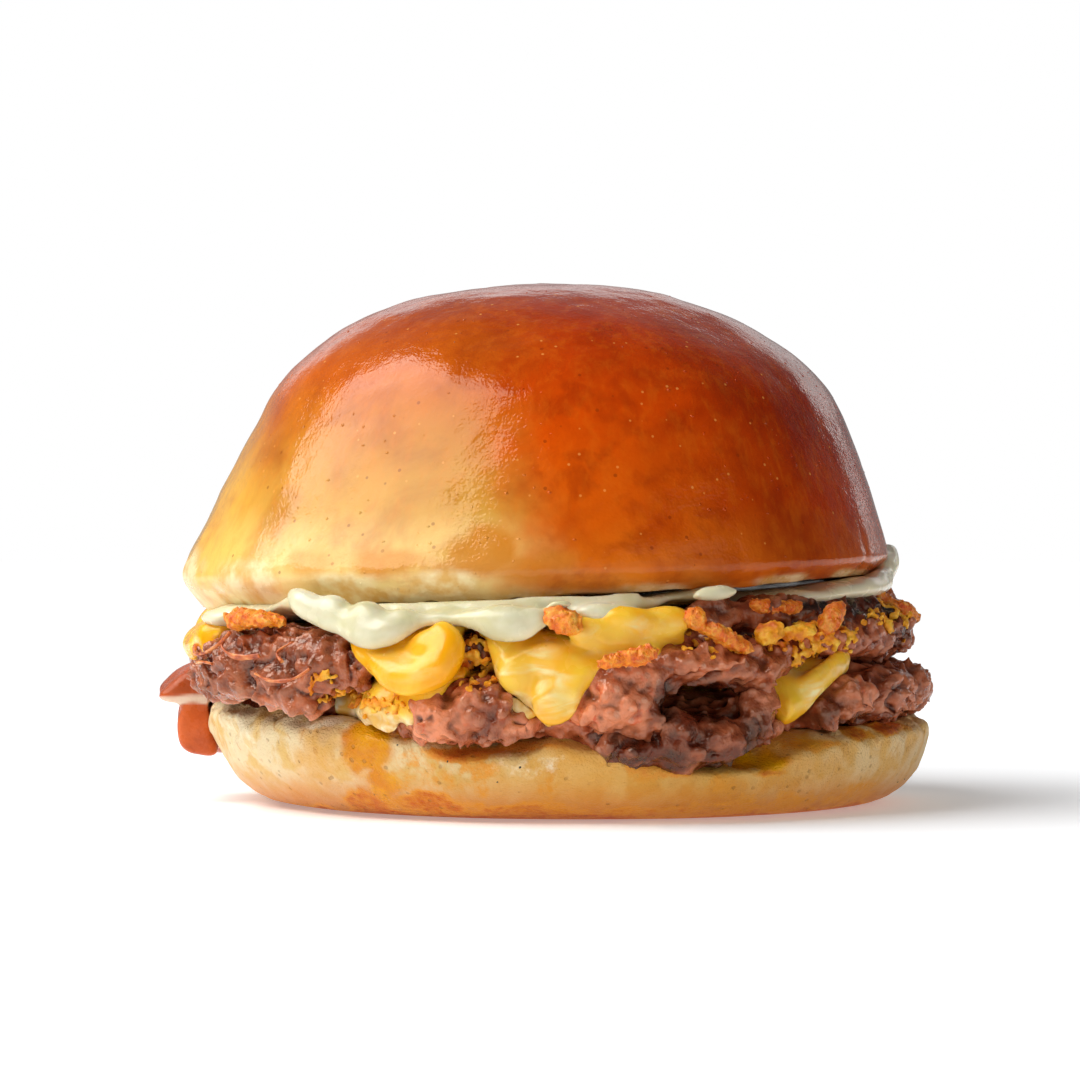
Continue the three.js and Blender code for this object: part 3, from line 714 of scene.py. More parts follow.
yellow = paint.coated(
    (252, 172, 12),
    (paint.mottle(9.0, 0.38, 0.68), (253, 202, 58)),
    (paint.times(paint.marked("pale"), 0.5), (253, 210, 84)),
    (paint.times(streak, paint.marked("pale")), (254, 238, 176)),
    (paint.marked("cream"), smear),
    # Darker orange in the hollows: thicker cheese, and painted shade.
    (paint.step(paint.marked("hollow"), 0.1, 0.8), (224, 134, 14)),
    (paint.specks(4.2, 0.1, 0.3, 0.7), (190, 100, 20)))
connect(
    Base_Color=yellow, Normal=paint.bump(paint.relief(3.4, 0.2), 0.16, 0.5),
    Roughness=paint.patchy(3.0, start=0.16, end=0.3))

sauce, paint, connect = finish_named(
    "Sauce", Roughness=0.2, Specular_IOR_Level=0.5, Subsurface_Weight=0.3, Subsurface_Radius=(1.0, 0.7, 0.4),
    Subsurface_Scale=0.0018)
cream = paint.coated(
    (210, 203, 158),
    (paint.mottle(8.0, 0.35, 0.65), (228, 222, 190)),
    # Painted shade: darker and yellower in the folds. Painted light: lighter towards the right, where the
    # crown shades it.
    (paint.step(paint.marked("hollow"), 0.1, 0.9), (206, 190, 120)),
    (paint.times(paint.step(paint.axis("X"), 30.0, 40.0), 0.8), (244, 230, 196)),
    (paint.specks(3.6, 0.075, 0.35), (46, 42, 34)))
connect(
    Base_Color=cream, Normal=paint.bump(paint.relief(4.0, 0.2), 0.14, 0.5),
    Roughness=paint.patchy(2.6, start=0.14, end=0.28))

# %% [markdown]
# Crisp onion is batter fried hard: orange with dark scorched edges and pale floury flecks, dry and
# rough, with painted shade in its hollows and painted highlights on its bumps. Bacon is a cured strip
# with fat running along it. The small things have finishes of their own: a yellow one for the onion
# crumbs, a red-brown one for the threads, near-black for pepper.
# %% Onion, bacon, pepper
crisp, paint, connect = finish_named("Crisp onion", Roughness=0.45, Specular_IOR_Level=0.5)
fried = paint.ramp(paint.noise(1.5, 4, 0.7), [
    (0.3, (214, 80, 8)), (0.45, (244, 126, 16)), (0.58, (252, 160, 36)), (0.72, (254, 204, 96))])
fried = paint.coated(
    fried,
    (paint.step(paint.axis("X"), 8.0, 46.0, 0.0, 0.3), (196, 72, 10)),
    (paint.mottle(3.6, 0.52, 0.66, 0.55), (222, 66, 8)),
    # Painted shade in the hollows, and painted highlights on the bumps.
    (paint.step(paint.marked("hollow"), 0.0, 0.9, 0.0, 0.7), (190, 60, 6)),
    (paint.times(paint.step(paint.marked("hollow"), -0.1, -0.8), 0.6), (254, 204, 104)))
connect(
    Base_Color=fried, Normal=paint.bump(paint.relief(0.8, 0.8), 0.3, 0.8),
    Roughness=paint.patchy(1.2, 0.3, 0.7, 0.2, 0.55))

crumbly, paint, connect = finish_named("Onion crumbs", Roughness=0.45, Specular_IOR_Level=0.4)
fried = paint.ramp(paint.noise(2.6, 3, 0.6), [
    (0.3, (212, 100, 10)), (0.48, (240, 158, 20)), (0.7, (252, 204, 70))])
connect(
    Base_Color=fried, Normal=paint.bump(paint.relief(0.5, 0.8), 0.12, 0.8),
    Roughness=paint.patchy(1.0, 0.3, 0.7, 0.3, 0.6))

shallot, paint, connect = finish_named("Fried shallot", Roughness=0.35, Specular_IOR_Level=0.5)
browned = paint.ramp(paint.noise(2.2, 3), [
    (0.35, (146, 54, 22)), (0.5, (206, 104, 44)), (0.68, (238, 168, 100))])
connect(Base_Color=browned, Normal=paint.bump(paint.noise(0.4, 2), 0.08))

bacon_finish, paint, connect = finish_named(
    "Bacon", Roughness=0.32, Specular_IOR_Level=0.35, Specular_Tint=(1.0, 0.84, 0.7, 1.0))
stripes = paint.plus(paint.axis("Y"), paint.times(paint.noise(9, 3, 0.5, 0.5), 7.0))
cured = paint.ramp(paint.step(stripes, -4.0, 24.0), [
    (0.0, (206, 96, 44)), (0.3, (190, 78, 30)), (0.42, (226, 160, 104)), (0.5, (236, 188, 138)),
    (0.58, (182, 72, 32)), (0.85, (166, 60, 24)), (1.0, (214, 146, 98))])
cured = paint.coated(
    cured,
    (paint.mottle(3.5, 0.4, 0.7, 0.4), (140, 48, 26)),
    (paint.step(paint.axis("Z"), 16.4, 18.6, 0.0, 0.6), (140, 56, 24)),
    (paint.marked("fat"), (236, 214, 190)))
connect(
    Base_Color=cured, Normal=paint.bump(paint.relief(1.6, 0.4), 0.2, 0.7),
    Roughness=paint.patchy(2.0, start=0.22, end=0.45))

pepper, paint, connect = finish_named("Pepper", Roughness=0.6)
ground = paint.ramp(paint.noise(0.3, 2), [(0.3, (24, 20, 18)), (0.7, (74, 58, 44))])
connect(Base_Color=ground, Normal=paint.bump(paint.noise(0.15, 1), 0.05))

# %% [markdown]
# ## Crown
# The crown is one closed dome. Its outline differs between the left, where it slopes, and the
# right, where it stands steeper, so two outlines are kept and mixed by how far right a bearing is.
# It's fine enough for its dents and the ripples of the glaze to be real geometry, and only the
# underside, which nothing shows, is coarse. Stains on this and every later piece are soft spots in
# bearing and height, frayed by the noise, and kept on the mesh as marks for the finish.
# %% Crown
CORE_RADIUS, HEEL_TOP, CROWN_BOTTOM = 42.0, 13.6, 33.9
CROWN_LEFT = [
    (54.6, 31.6), (58, 36), (57, 40), (53.8, 45.8), (50.4, 53), (46.4, 60.5), (43, 66.8), (37.4, 72.7),
    (27.5, 78.7), (15, 82.6), (0, 84.2)]
CROWN_RIGHT = [
    (54.2, 36.9), (56.5, 39.4), (56.2, 42), (54.9, 46.6), (52.6, 53.4), (49.3, 61), (45.8, 67.2), (40, 72.9),
    (30, 78.7), (16.5, 82.6), (0, 84.2)]
CREASES = [(66, 1.2, 50), (-4, 1.6, 40), (-18, 1.3, 38), (150, 1.5, 46), (218, 1.4, 44)]
TORN_LIP = [
    (-14, 36.2, 5, 2.0, 1.0), (-31, 36.0, 6, 1.8, 0.9), (-52, 37.0, 9, 2.6, 0.8), (-75, 38, 12, 3, 0.8),
    (19, 35.4, 6, 0.9, 0.7), (44, 36.4, 9, 0.9, 0.7), (64, 37.2, 8, 1.0, 0.8)]
AMBER = [
    (-9, 41, 7, 4.2, 0.8), (-24, 39.4, 6, 2.2, 0.7), (2, 39.6, 6, 2, 0.5), (-4, 38.8, 8, 2.4, 0.6),
    (-38, 39.5, 6, 2, 0.5)]
BUN_TURNS = np.linspace(0, 360, 400, endpoint=False)
RIM_RADIUS = 59


def settled(bearings, height):
    """The layers rise a little to the right, the more so the higher they lie."""
    share = np.clip((height - HEEL_TOP) / (CROWN_BOTTOM - HEEL_TOP), 0, 1)
    return height + 0.053 * CORE_RADIUS * np.sin(np.radians(bearings)) * share


def between(bearings, left, right):
    """Two outlines mixed by how far right each bearing is, as (bearings, points, 2)."""
    share = ((1 + np.sin(np.radians(bearings))) / 2)[:, None, None]
    return mix(np.array(left, float)[None], np.array(right, float)[None], share)


def stained(points, spots, fray, seed):
    """How strongly spots cover points. Each is bearing, height, half its width and height, and strength."""
    bearings = bearing_of(points)
    frayed = fray * (lumps(points, 5, seed) + 0.6 * lumps(points, 1.9, seed + 1))
    cover = np.zeros(len(points))
    for at, height, wide, tall, strength in spots:
        aside = turn_between(bearings, at) * math.radians(1) * RIM_RADIUS / wide
        distance = np.hypot(aside, (points[:, 2] - height) / tall) + frayed
        cover = np.maximum(cover, strength * ease(distance, 1.3, 0.45))
    return cover


def spotted(obj, name, spots, fray, seed, least=0):
    """Keeps soft spots on an object as a mark, which is nowhere below least."""
    mark(obj, name, np.maximum(least, stained(read(obj), spots, fray, seed)))


dome = smooth_line(between(BUN_TURNS, CROWN_LEFT, CROWN_RIGHT), 175)
under = section(BUN_TURNS, [(at, settled(BUN_TURNS, CROWN_BOTTOM)) for at in (0, 14, 28, 42, 46)])
under[:, 0, 1] = CROWN_BOTTOM
under = np.concatenate([under, mix(under[:, -1:], dome[:, :1], 0.7)], 1)
crown = piece("Crown", *revolved(BUN_TURNS, np.concatenate([under, dome], 1)), crust)
points, normals = skin(crown)
bearings, out = bearing_of(points), from_axis(points)
dented = lumpy(points, (0.45, 17, 1), (0.2, 8, 2), (0.07, 3.4, 3), (0.03, 1.7, 4))
lip = ease(points[:, 2], 41, 33) * ease(out, 50, 54)
dented += lip * 0.5 * lumps(points * [1, 1, 0.4], 5, 5)
for at, wide, reach in CREASES:
    dented -= 0.45 * np.exp(-(turn_between(bearings, at) / wide) ** 2) * ease(points[:, 2], reach, 33)
dented *= np.where(out < 48, ease(points[:, 2], 36, 44), 1)
points = pushed(crown, points, normals, dented)
low = ease(points[:, 2] - settled(bearings, 0) + 1.2 * lumps(points, 6, 7), 35.8, 34.2)
spotted(crown, "bare", TORN_LIP, 0.4, 8, least=0.9 * low)
spotted(crown, "amber", AMBER, 0.45, 9)
print("crown dents:", dented.min().round(2), dented.max().round(2), "mm")

# %% [markdown]
# ## Heel
# The heel is built the same way, a little off the axis to the right, with its upper edge pressed
# down where the filling hangs over it. The crumb is torn there, so the noise is stronger near the
# top edge.
# %% Heel
HEEL_OFFSET = 4.3
HEEL_LEFT = [(42.5, 0), (48.2, 0.9), (52.6, 3.6), (55.6, 7.4), (57.6, 11.6), (58.2, 15.2), (55.8, 17.2)]
HEEL_RIGHT = [(45.5, 0), (50.6, 0.7), (54.4, 2.9), (57, 6.2), (58.3, 10.6), (58.4, 13.4), (56, 15.2)]
HEEL_DENTS = [
    (-95, 0), (-58, 0.4), (-40, 1.6), (-24, 3), (-17, 5), (-8, 5), (-2, 2.8), (5, 3.6), (11, 6), (20, 7.4),
    (30, 7), (38, 4.4), (46, 2.4), (60, 1.4), (80, 0.8), (120, 1.6), (150, 0.6), (185, 2), (215, 0.6),
    (240, 1.4),
]
HEEL_STAINS = {  # for each mark, how frayed its spots are, the seed of the noise, and the spots
    "grease": (0.35, 15, [
        (-27.6, 10.6, 6.4, 5.4, 1.0), (-26.5, 6.4, 5.0, 3.4, 1.0), (-21.4, 14, 2.8, 2.8, 0.9),
        (-16.5, 14.6, 3, 2, 0.6), (-30, 4.6, 3, 1.4, 0.5), (40, 12.4, 7, 1.8, 0.5), (34, 9.4, 5.5, 1.6, 0.8),
        (150, 12, 7, 5, 0.7), (205, 13, 6, 4, 0.7)]),
    "toast": (0.5, 17, [
        (-33, 2.4, 8, 2.2, 0.8), (-17, 2.6, 9, 2.0, 0.8), (-2, 1.6, 12, 1.6, 0.7), (16, 1.4, 12, 1.4, 0.6),
        (36, 2.0, 12, 2.0, 0.55), (58, 2.8, 10, 2.4, 0.45), (62, 13.4, 7, 1.5, 1.0), (54, 12.8, 4, 1.2, 0.8),
        (1, 7, 1.6, 3.4, 0.4), (-9, 6, 1.6, 3, 0.5), (-17, 6.6, 7, 3, 0.3), (35, 7.6, 5, 0.9, 0.8),
        (16, 8, 3, 2, 0.5), (28, 6, 3, 2.4, 0.4), (120, 2, 26, 2.4, 0.8), (200, 2, 34, 2.6, 0.85),
        (262, 2, 16, 2.0, 0.6), (170, 13, 7, 1.4, 0.8)]),
    "flush": (0.5, 20, [
        (-11, 10.6, 7, 1.4, 0.8), (-3, 12.0, 5, 1.2, 0.6), (-8, 8.6, 4, 2.4, 0.5), (-20, 10, 3, 2, 0.4),
        (18, 8.4, 6, 1.2, 0.6), (44, 11.6, 8, 1.0, 0.6), (30, 10, 5, 1.4, 0.5), (140, 13, 7, 1.4, 0.7),
        (225, 13, 8, 1.6, 0.6)]),
    "cream": (0.4, 19, [
        (-36, 15.6, 7, 1.8, 0.8), (-22, 14.5, 4, 2, 0.8), (-60, 12, 8, 4, 0.5), (-2, 9, 7, 3, 0.4),
        (130, 14, 9, 2, 0.7)]),
}
flank = between(BUN_TURNS, HEEL_LEFT, HEEL_RIGHT)
flank[..., 1] -= flank[..., 1] * row_at(HEEL_DENTS, BUN_TURNS)[0][:, None] / 16
sides = smooth_line(flank, 96)
base = section(BUN_TURNS, [(at, 0) for at in (0, 14, 28, 38)])
cut = section(BUN_TURNS, [(at, HEEL_TOP) for at in (50, 38, 20, 0)])
cut = np.concatenate([mix(sides[:, -1:], cut[:, :1], 0.35), cut], 1)
points, faces = revolved(BUN_TURNS, np.concatenate([base, sides, cut], 1))
points[:, 0] += HEEL_OFFSET
heel = piece("Heel", points, faces, crumb)
torn = ease(points[:, 2], 8, 14)
swell = lumpy(
    points, (0.5, 14, 11), (0.14, 5, 12), (0.14 + 0.4 * torn, 2.4, 13), (0.06 + 0.2 * torn, 1.2, 14))
swell *= ease(from_axis(points - [HEEL_OFFSET, 0, 0]), 44, 52) * ease(points[:, 2], 0.0, 1.5)
points = pushed(heel, points, read(heel, "normal"), swell)
browned_foot = 0.85 * ease(points[:, 2] + 0.7 * lumps(points, 4, 18), 1.8, 0.5)
for name, (fray, seed, spots) in HEEL_STAINS.items():
    spotted(heel, name, spots, fray, seed, least=browned_foot if name == "toast" else 0)
mark(heel, "torn", ease(points[:, 2] + 2 * lumps(points, 7, 22), 3, 11))
print("heel points:", len(points))

# %% [markdown]
# ## Patties
# A smashed patty is flat in the middle and a rough rim of grains outside. The flat part and the
# rim's height and reach come from the same tables as the solids. Larger clumps that stand out in
# the view are squashed balls at their own places. The scatter tree then covers the visible rim in
# grains, a voxel remesh melts all of it into one skin, and finer noise roughens that skin.
# %% Patty tables
LOWER_PATTY = {"core": (14.0, 20.3), "rim": [
    (-95, 49, 18, 14.4), (-50, 48, 17.2, 14.4), (-34, 50.6, 18.4, 15), (-24, 57, 20.6, 14.2),
    (-17, 60.4, 22.0, 12.2), (-8, 60.6, 22.2, 12), (-2, 58.4, 20.4, 14.4), (5, 58.6, 18, 13.4),
    (10, 60.6, 16.4, 10.8), (18, 61.6, 15.4, 8.4), (27, 61.4, 15.8, 8.8), (35, 60.4, 18.6, 11.6),
    (43, 57, 21, 14), (52, 60.4, 21.6, 15), (64, 63, 22.6, 14.6), (80, 63.4, 22.4, 15.4), (98, 59, 20, 15.8),
    *hidden_rows(8, 11, [(55, 61), (18.6, 19.6), (15.8, 16.8)])]}
UPPER_PATTY = {"core": (22.8, 29.1), "rim": [
    (-95, 55.4, 27, 20.4), (-74, 56.8, 26.8, 19), (-62, 60, 27.4, 17.8), (-51, 61.6, 28.6, 17.6),
    (-43, 62, 29.2, 16.8), (-36, 60.8, 29, 17.4), (-28, 59, 28.4, 22), (-20, 57.4, 28.6, 24.4),
    (-8, 57.6, 28.4, 24.4), (0, 59.0, 27.2, 20.6), (6, 61.4, 25.2, 15.4), (12, 62, 24.8, 15),
    (17, 61.4, 26.2, 18.8), (22, 61.4, 27.0, 21.4), (30, 62.0, 26.8, 21.4), (37, 60.4, 27, 20.8),
    (45, 59.2, 30.0, 24.6), (58, 60.4, 31.0, 24.2), (72, 60.4, 31.2, 24.2), (85, 59.8, 31, 24.2),
    (98, 59, 31, 24.4), *hidden_rows(8, 29, [(57, 62), (29, 30.4), (23.4, 24.4)])]}
TURNS = np.linspace(0, 360, 300, endpoint=False)


def patty_control(patty, bearings):
    """The patty's section at each bearing, as (bearings, points, 2), from the axis below to above."""
    radius, top, bottom = row_at(patty["rim"], bearings)
    low, high = settled(bearings, patty["core"][0]), settled(bearings, patty["core"][1])
    tall, reach = top - bottom, radius - CORE_RADIUS
    spots = [
        (0, patty["core"][0]), (CORE_RADIUS, low), (CORE_RADIUS + 0.45 * reach, mix(low, bottom, 0.08)),
        (CORE_RADIUS + 0.72 * reach, mix(low, bottom, 0.5)), (radius - 2.4, bottom + 0.05 * tall),
        (radius - 0.7, bottom + 0.25 * tall), (radius, (top + bottom) / 2), (radius - 0.9, top - 0.22 * tall),
        (radius - 2.8, top - 0.03 * tall), (CORE_RADIUS + 0.58 * reach, mix(high, top, 0.7)),
        (CORE_RADIUS, high), (0, patty["core"][1]),
    ]
    return section(bearings, spots)


# Clumps: bearing, out, height, half sizes across, in and out, and up, and lean to the right
LOWER_CLUMPS = [
    (-15.5, 58.6, 16.6, 4.6, 4.0, 3.4, 45), (-10, 58.4, 17.6, 3.4, 3.6, 4.4, 10),
    (-6.2, 58.8, 17.0, 2.8, 3.4, 4.2, -10), (-2.4, 58.4, 15.6, 2.4, 2.6, 1.5, -20),
    (20, 59.2, 12.6, 5.0, 4.4, 4.2, 40), (26, 59.6, 12.4, 4.0, 3.8, 3.4, 10),
    (12, 58.6, 11.8, 4.2, 3.6, 2.6, 20), (33, 58.8, 16.0, 3.2, 3.4, 4.2, 0),
    (34.6, 60.4, 18.6, 1.7, 1.7, 1.5, 0), (53, 59.2, 18.4, 4.6, 4.4, 3.0, -10),
    (63, 60.2, 18.8, 4.4, 4.2, 3.2, 0), (73, 60.2, 19.4, 4.0, 4.0, 3.2, 0),
    (47.6, 58.6, 16.4, 2.2, 2.4, 2.2, 0),
]
UPPER_CLUMPS = [
    (11.2, 58.8, 19.8, 8.6, 5.4, 4.6, 47), (14.6, 58.8, 22.2, 5.0, 4.6, 3.6, 50),
    (8.0, 58.6, 17.4, 4.0, 4.6, 3.0, 30), (21, 58.6, 24.4, 5.6, 5.0, 2.9, -2),
    (28, 58.4, 24.0, 5.0, 5.0, 3.0, 6), (33.6, 58.0, 22.6, 3.4, 4.4, 3.4, 0),
    (-38.5, 57.6, 19.0, 3.8, 4.2, 2.8, -8), (-42.5, 58.4, 20.6, 3.6, 4.2, 3.6, 0),
    (-50, 58.6, 22.6, 4.6, 4.4, 4.4, -30), (-58, 57.4, 21.0, 4.4, 4.2, 3.4, 10),
    (-66, 55.6, 20.6, 4.0, 4.0, 2.8, 0), (-34, 57.4, 24.4, 3.6, 4.0, 3.6, 0),
    (-30, 57, 22.4, 2.2, 3.0, 2.6, 0),
    *((at, 54.2, 30.6 + 0.02 * at, 5.4, 3.2, 2.4, 0) for at in range(30, 104, 9)),
    (60, 57.6, 28.0, 5.0, 4.4, 2.6, 0), (70, 57.6, 28.2, 4.6, 4.4, 2.8, 0),
    (50, 57.6, 27.6, 4.4, 4.0, 2.4, 0),
]
print("clumps:", len(LOWER_CLUMPS), len(UPPER_CLUMPS))

# %% [markdown]
# Where a slice hangs over the rim the grains would poke through it, so the slices' tables come
# next: a slice's row is its bearing, how low its melted edge hangs, and how much it swells there.
# A row as high as FREE ends on top of the patty.
# %% Slice tables
FREE = 40
UPPER_EDGE = [
    (-95, 25, 0.6), (-72, 23.8, 1.3), (-62, 25.6, 1.2), (-57, FREE, 0), (-32, FREE, 0), (-28, 24.8, 0.5),
    (-24, 22.4, 1.2), (-18, 22.2, 1.4), (-13.5, 24.6, 1), (-10.5, FREE, 0), (-8, 28, 0.2), (-6, 21.0, 0.5),
    (-2, 18.4, 0.7), (1, 15.4, 0.9), (4, 16.0, 1.0), (7, 21.2, 0.8), (12, 25.4, 0.7), (18, 27.4, 0.8),
    (21, 28.6, 0.8), (24, FREE, 0), (100, FREE, 0), *hidden_rows(9, 51, [(19, 31), (0.2, 1.8)])]
LOWER_EDGE = [
    (-95, FREE, 0), (-44, FREE, 0), (-38, 16.0, 0.1), (-31, 15.0, 0.3), (-24, 14.4, 0.4), (-19, 15.4, 0.3),
    (-14, 18.6, 0.3), (-9, FREE, 0), (35, FREE, 0), (38, 15.2, 1.4), (42, 15.8, 1.9), (47, 19.0, 1.8),
    (52, 22.0, 0.8), (56, FREE, 0), (100, FREE, 0), *hidden_rows(9, 67, [(12, 25), (0.1, 1.2)])]


def ground_meat(name, patty, clumps, edge, seed):
    """A patty's skin with its clumps, covered in grains where no slice hides it, and run together."""
    base = revolved(TURNS, smooth_line(patty_control(patty, TURNS), 90))
    obj = piece(name, *joined([base] + blobs(*clumps)), meat)
    points = read(obj)
    hang = row_at(edge, bearing_of(points))[0]
    covered = ease(points[:, 2], hang - 1.0, hang + 1.0)
    mark(obj, "grains", ease(from_axis(points), 50, 53) * (1 - 0.9 * covered))
    scattered(obj, "grains", Per_square_mm=0.42, Smallest=(0.8, 0.6, 0.5), Largest=(2.5, 1.4, 1.1),
              Raggedness=0.3, Ragged_size=1.4, Seed=seed, Keep_surface=True, Sink=0.25, Tumble=0.35)
    melted(obj, 0.412, 1)
    points, normals = skin(obj)
    push = lumpy(points, (0.34, 2.6, seed), (0.2, 1.2, seed + 1), (0.06, 0.75, seed + 2))
    cracks = 0.9 * ease(np.abs(lumps(points, 4.4, seed + 3)), 0.2, 0.0)
    push -= cracks * ease(lumps(points, 6, seed + 4), -0.3, 0.3)
    pushed(obj, points, normals, push * ease(from_axis(points), 47, 52), 1)
    return thinned(obj, 0.5, ease(from_axis(points), 50, 46))


LOWER_PINK = [
    (-15, 15.5, 6.5, 4.5, 0.95), (-11, 20, 3, 2.5, 0.5), (-3, 15, 3, 1.6, 0.9), (34.6, 18.6, 2, 2, 0.8),
    (53, 19, 4.5, 3.4, 0.5), (66, 18, 6, 3.6, 0.4), (76, 19, 4, 3, 0.25), (160, 17, 8, 4, 0.6),
    (230, 17, 8, 4, 0.5)]
# Seared places, and in the same table painted shade: the cavity between the patties is darkened like char.
LOWER_CHAR_AND_SHADE = [
    (16, 9.8, 9, 2.8, 1.0), (27, 9.6, 8, 2.2, 0.95), (22, 16.2, 8, 1.8, 0.85), (13, 12, 5, 3.4, 0.9),
    (21, 13, 5, 3.4, 0.7), (32, 13, 4, 4.4, 0.7), (58, 15.2, 9, 1.0, 0.8), (46, 17, 3, 2.6, 0.7),
    (118, 15, 12, 2, 0.8), (200, 16, 16, 2, 0.8)]
UPPER_PINK = [
    (9, 18, 6.5, 4.5, 0.95), (13, 22, 4, 3.5, 0.6), (24, 24, 5, 2, 0.3), (-40, 19, 5, 3, 0.25),
    (140, 26, 9, 3, 0.5)]
# Seared places, and in the same table painted shade: the gap under the crown at the right and the cavity
# above the lower patty.
UPPER_CHAR_AND_SHADE = [
    (58, 32.6, 32, 2.2, 1.0), (24, 20.5, 9, 1.6, 1.0), (17.5, 18.5, 2.5, 4, 0.9), (74, 27.6, 8, 1.4, 0.9),
    (50, 31.4, 16, 1.8, 0.9), (76, 32.2, 14, 1.8, 0.8), (-10, 26, 7, 3, 0.9), (-52, 27.5, 8, 1.2, 0.5),
    (170, 28, 18, 1.6, 0.8), (-60, 19, 6, 1.6, 0.5), (-50, 23.5, 16, 6.5, 0.4), (-33, 23, 3, 3, 0.4)]


def cooked(obj, pink, char_and_shade, seed):
    """Marks the hollows, the pink and the seared places of a patty for its finish, and the gaps under the
    crown and between the patties, which are painted dark as shade.
    """
    mark_hollows(obj, "hollow", 5, 0.22)
    mark_hollows(obj, "deep", 30, 0.9)
    spotted(obj, "pink", pink, 0.3, seed)
    spotted(obj, "char_and_shade", char_and_shade, 0.35, seed + 2)
    return obj


lower_patty = cooked(
    ground_meat("Lower_patty", LOWER_PATTY, LOWER_CLUMPS, LOWER_EDGE, 21), LOWER_PINK, LOWER_CHAR_AND_SHADE, 31)
upper_patty = cooked(
    ground_meat("Upper_patty", UPPER_PATTY, UPPER_CLUMPS, UPPER_EDGE, 24), UPPER_PINK, UPPER_CHAR_AND_SHADE, 35)
print("patties:", len(lower_patty.data.polygons), len(upper_patty.data.polygons), "faces")

# %% [markdown]
# ## Melted slices
# A slice lies flat, comes over the rim, thickens as it slows, and ends in a rounded lip. So its
# section follows the patty's, is cut where the table says it stops, and is offset outwards by a
# thickness that grows downwards. Fat tongues that sagged clear of the meat are balls that melt in.
# %% Slices
def slice_outline(patty, edge, bearing, dry, thickness=1.7, cling=0.3):
    """The closed section of a slice at one bearing: inside going out and down, round the lip, and back."""
    hang, swell = row_at(edge, np.array([bearing]))[:, 0]
    hang += 0.6 * lumps(polar(np.array([bearing]), 60.0, 0.0), 3, 49)[0]
    spots = patty_control(patty, np.array([float(bearing)]))[0][::-1]
    path = spots[1:7] + [0, cling]
    path[-1] = [path[1:, 0].max(), min(path[-2, 1] - 0.5, hang)]
    stop = min(hang, path[2, 1] - 0.4)
    fine = smooth_line(path[None], 60)[0]
    reach = mix(99, dry, ease(np.array(hang), 31, 38))
    high = (fine[:, 1] >= stop) | (fine[:, 0] < path[1, 0])
    keep = np.flatnonzero(high & (np.maximum.accumulate(fine[:, 0]) <= reach))[-1]
    fine = smooth_line(fine[None, : max(keep, 3) + 1], 34)[0]
    flow = np.gradient(fine, axis=0)
    flow /= np.linalg.norm(flow, axis=1)[:, None] + 1e-9
    out = np.stack([-flow[:, 1], flow[:, 0]], -1)
    share = np.linspace(0, 1, len(fine))
    thick = (thickness + swell * ease(share, 0.25, 0.9)) * np.sqrt(np.clip((1.04 - share) / 0.12, 0.05, 1))
    outer = fine + out * thick[:, None]
    low = patty["core"][1] + cling
    return np.vstack([
        [0, low], fine, (fine[-1] + outer[-1]) / 2 + flow[-1] * 0.6, outer[::-1], [0, low + thickness]])


# Where crumb or fat smeared the cheese pale: bearing, height, half its width and height, and strength
SMEARED = [
    (-37, 16.8, 5, 1.8, 0.95), (-30, 15.8, 7, 1.8, 0.95), (-22, 15.2, 6, 1.6, 0.95), (-3, 17.6, 3, 1.8, 0.9),
    (50, 22.5, 2.4, 1.0, 0.6)]


def melted_slice(name, patty, edge, lobes, seed, dry):
    """A slice's skin with its lobes, run together, with folds where it hangs free."""
    outline = np.stack([slice_outline(patty, edge, bearing, dry) for bearing in TURNS])
    obj = piece(name, *joined([revolved(TURNS, outline)] + lobes), cheese)
    melted(obj, 0.5, 9)
    points, normals = skin(obj)
    free = ease(from_axis(points), 50, 55)
    smeared = stained(points, SMEARED, 0.4, 48)
    push = lumpy(points, (0.35, 7, seed), (0.16, 3.2, seed + 1), (0.8 * smeared, 1.9, seed + 2))
    pushed(obj, points, normals, push * free, 1)
    mark(obj, "cream", smeared)
    thinned(obj, 0.45, 1 - free)
    mark_hollows(obj, "hollow", 8, 0.4)
    return obj


# Tongues and lobes: bearing, out, height, half sizes across, in and out, and up, and lean to the right.
# The fat tongue's rolled edge is a trail, and so is the run of the lower slice at the right.
UPPER_LOBES = blobs(
    (-66, 57.4, 26.6, 4.6, 2.6, 2.2), (-62, 57.8, 25.6, 2.6, 2.2, 1.8), (-19.4, 60.2, 24.4, 5.0, 2.4, 2.6),
    (-15.6, 60.4, 26.6, 3.6, 2.6, 2.8), (2.0, 61.6, 18.6, 3.6, 2.2, 3.6), (-3.4, 60.6, 23.0, 2.8, 1.8, 3.4),
    (1.6, 60.4, 25.0, 5.6, 1.8, 2.6, 10), (8.4, 60.4, 28.4, 6.0, 2.0, 2.6, 25),
    (14.4, 60.2, 30.4, 6.6, 2.6, 2.2, 14), (18.8, 59.8, 31.0, 4.4, 2.4, 1.9, 6),
    (13.6, 61.0, 27.0, 6.0, 1.6, 1.8, 26))
UPPER_LOBES += trail([
    (-25.2, 59.6, 26.8, 1.2), (-24.0, 60.8, 25.0, 1.7), (-22.2, 61.6, 23.6, 2.2), (-19.8, 62.0, 22.6, 2.6),
    (-17.2, 62.2, 22.4, 2.7), (-14.8, 62.0, 23.4, 2.7), (-13.2, 61.6, 25.2, 2.6), (-12.8, 61.0, 27.0, 2.4),
    (-14.0, 60.2, 28.6, 2.0)], 26)
LOWER_LOBES = blobs((-3.4, 59.4, 18.0, 2.6, 1.3, 1.3, 35), (-1.6, 59.6, 16.8, 1.8, 1.0, 0.9, -10))
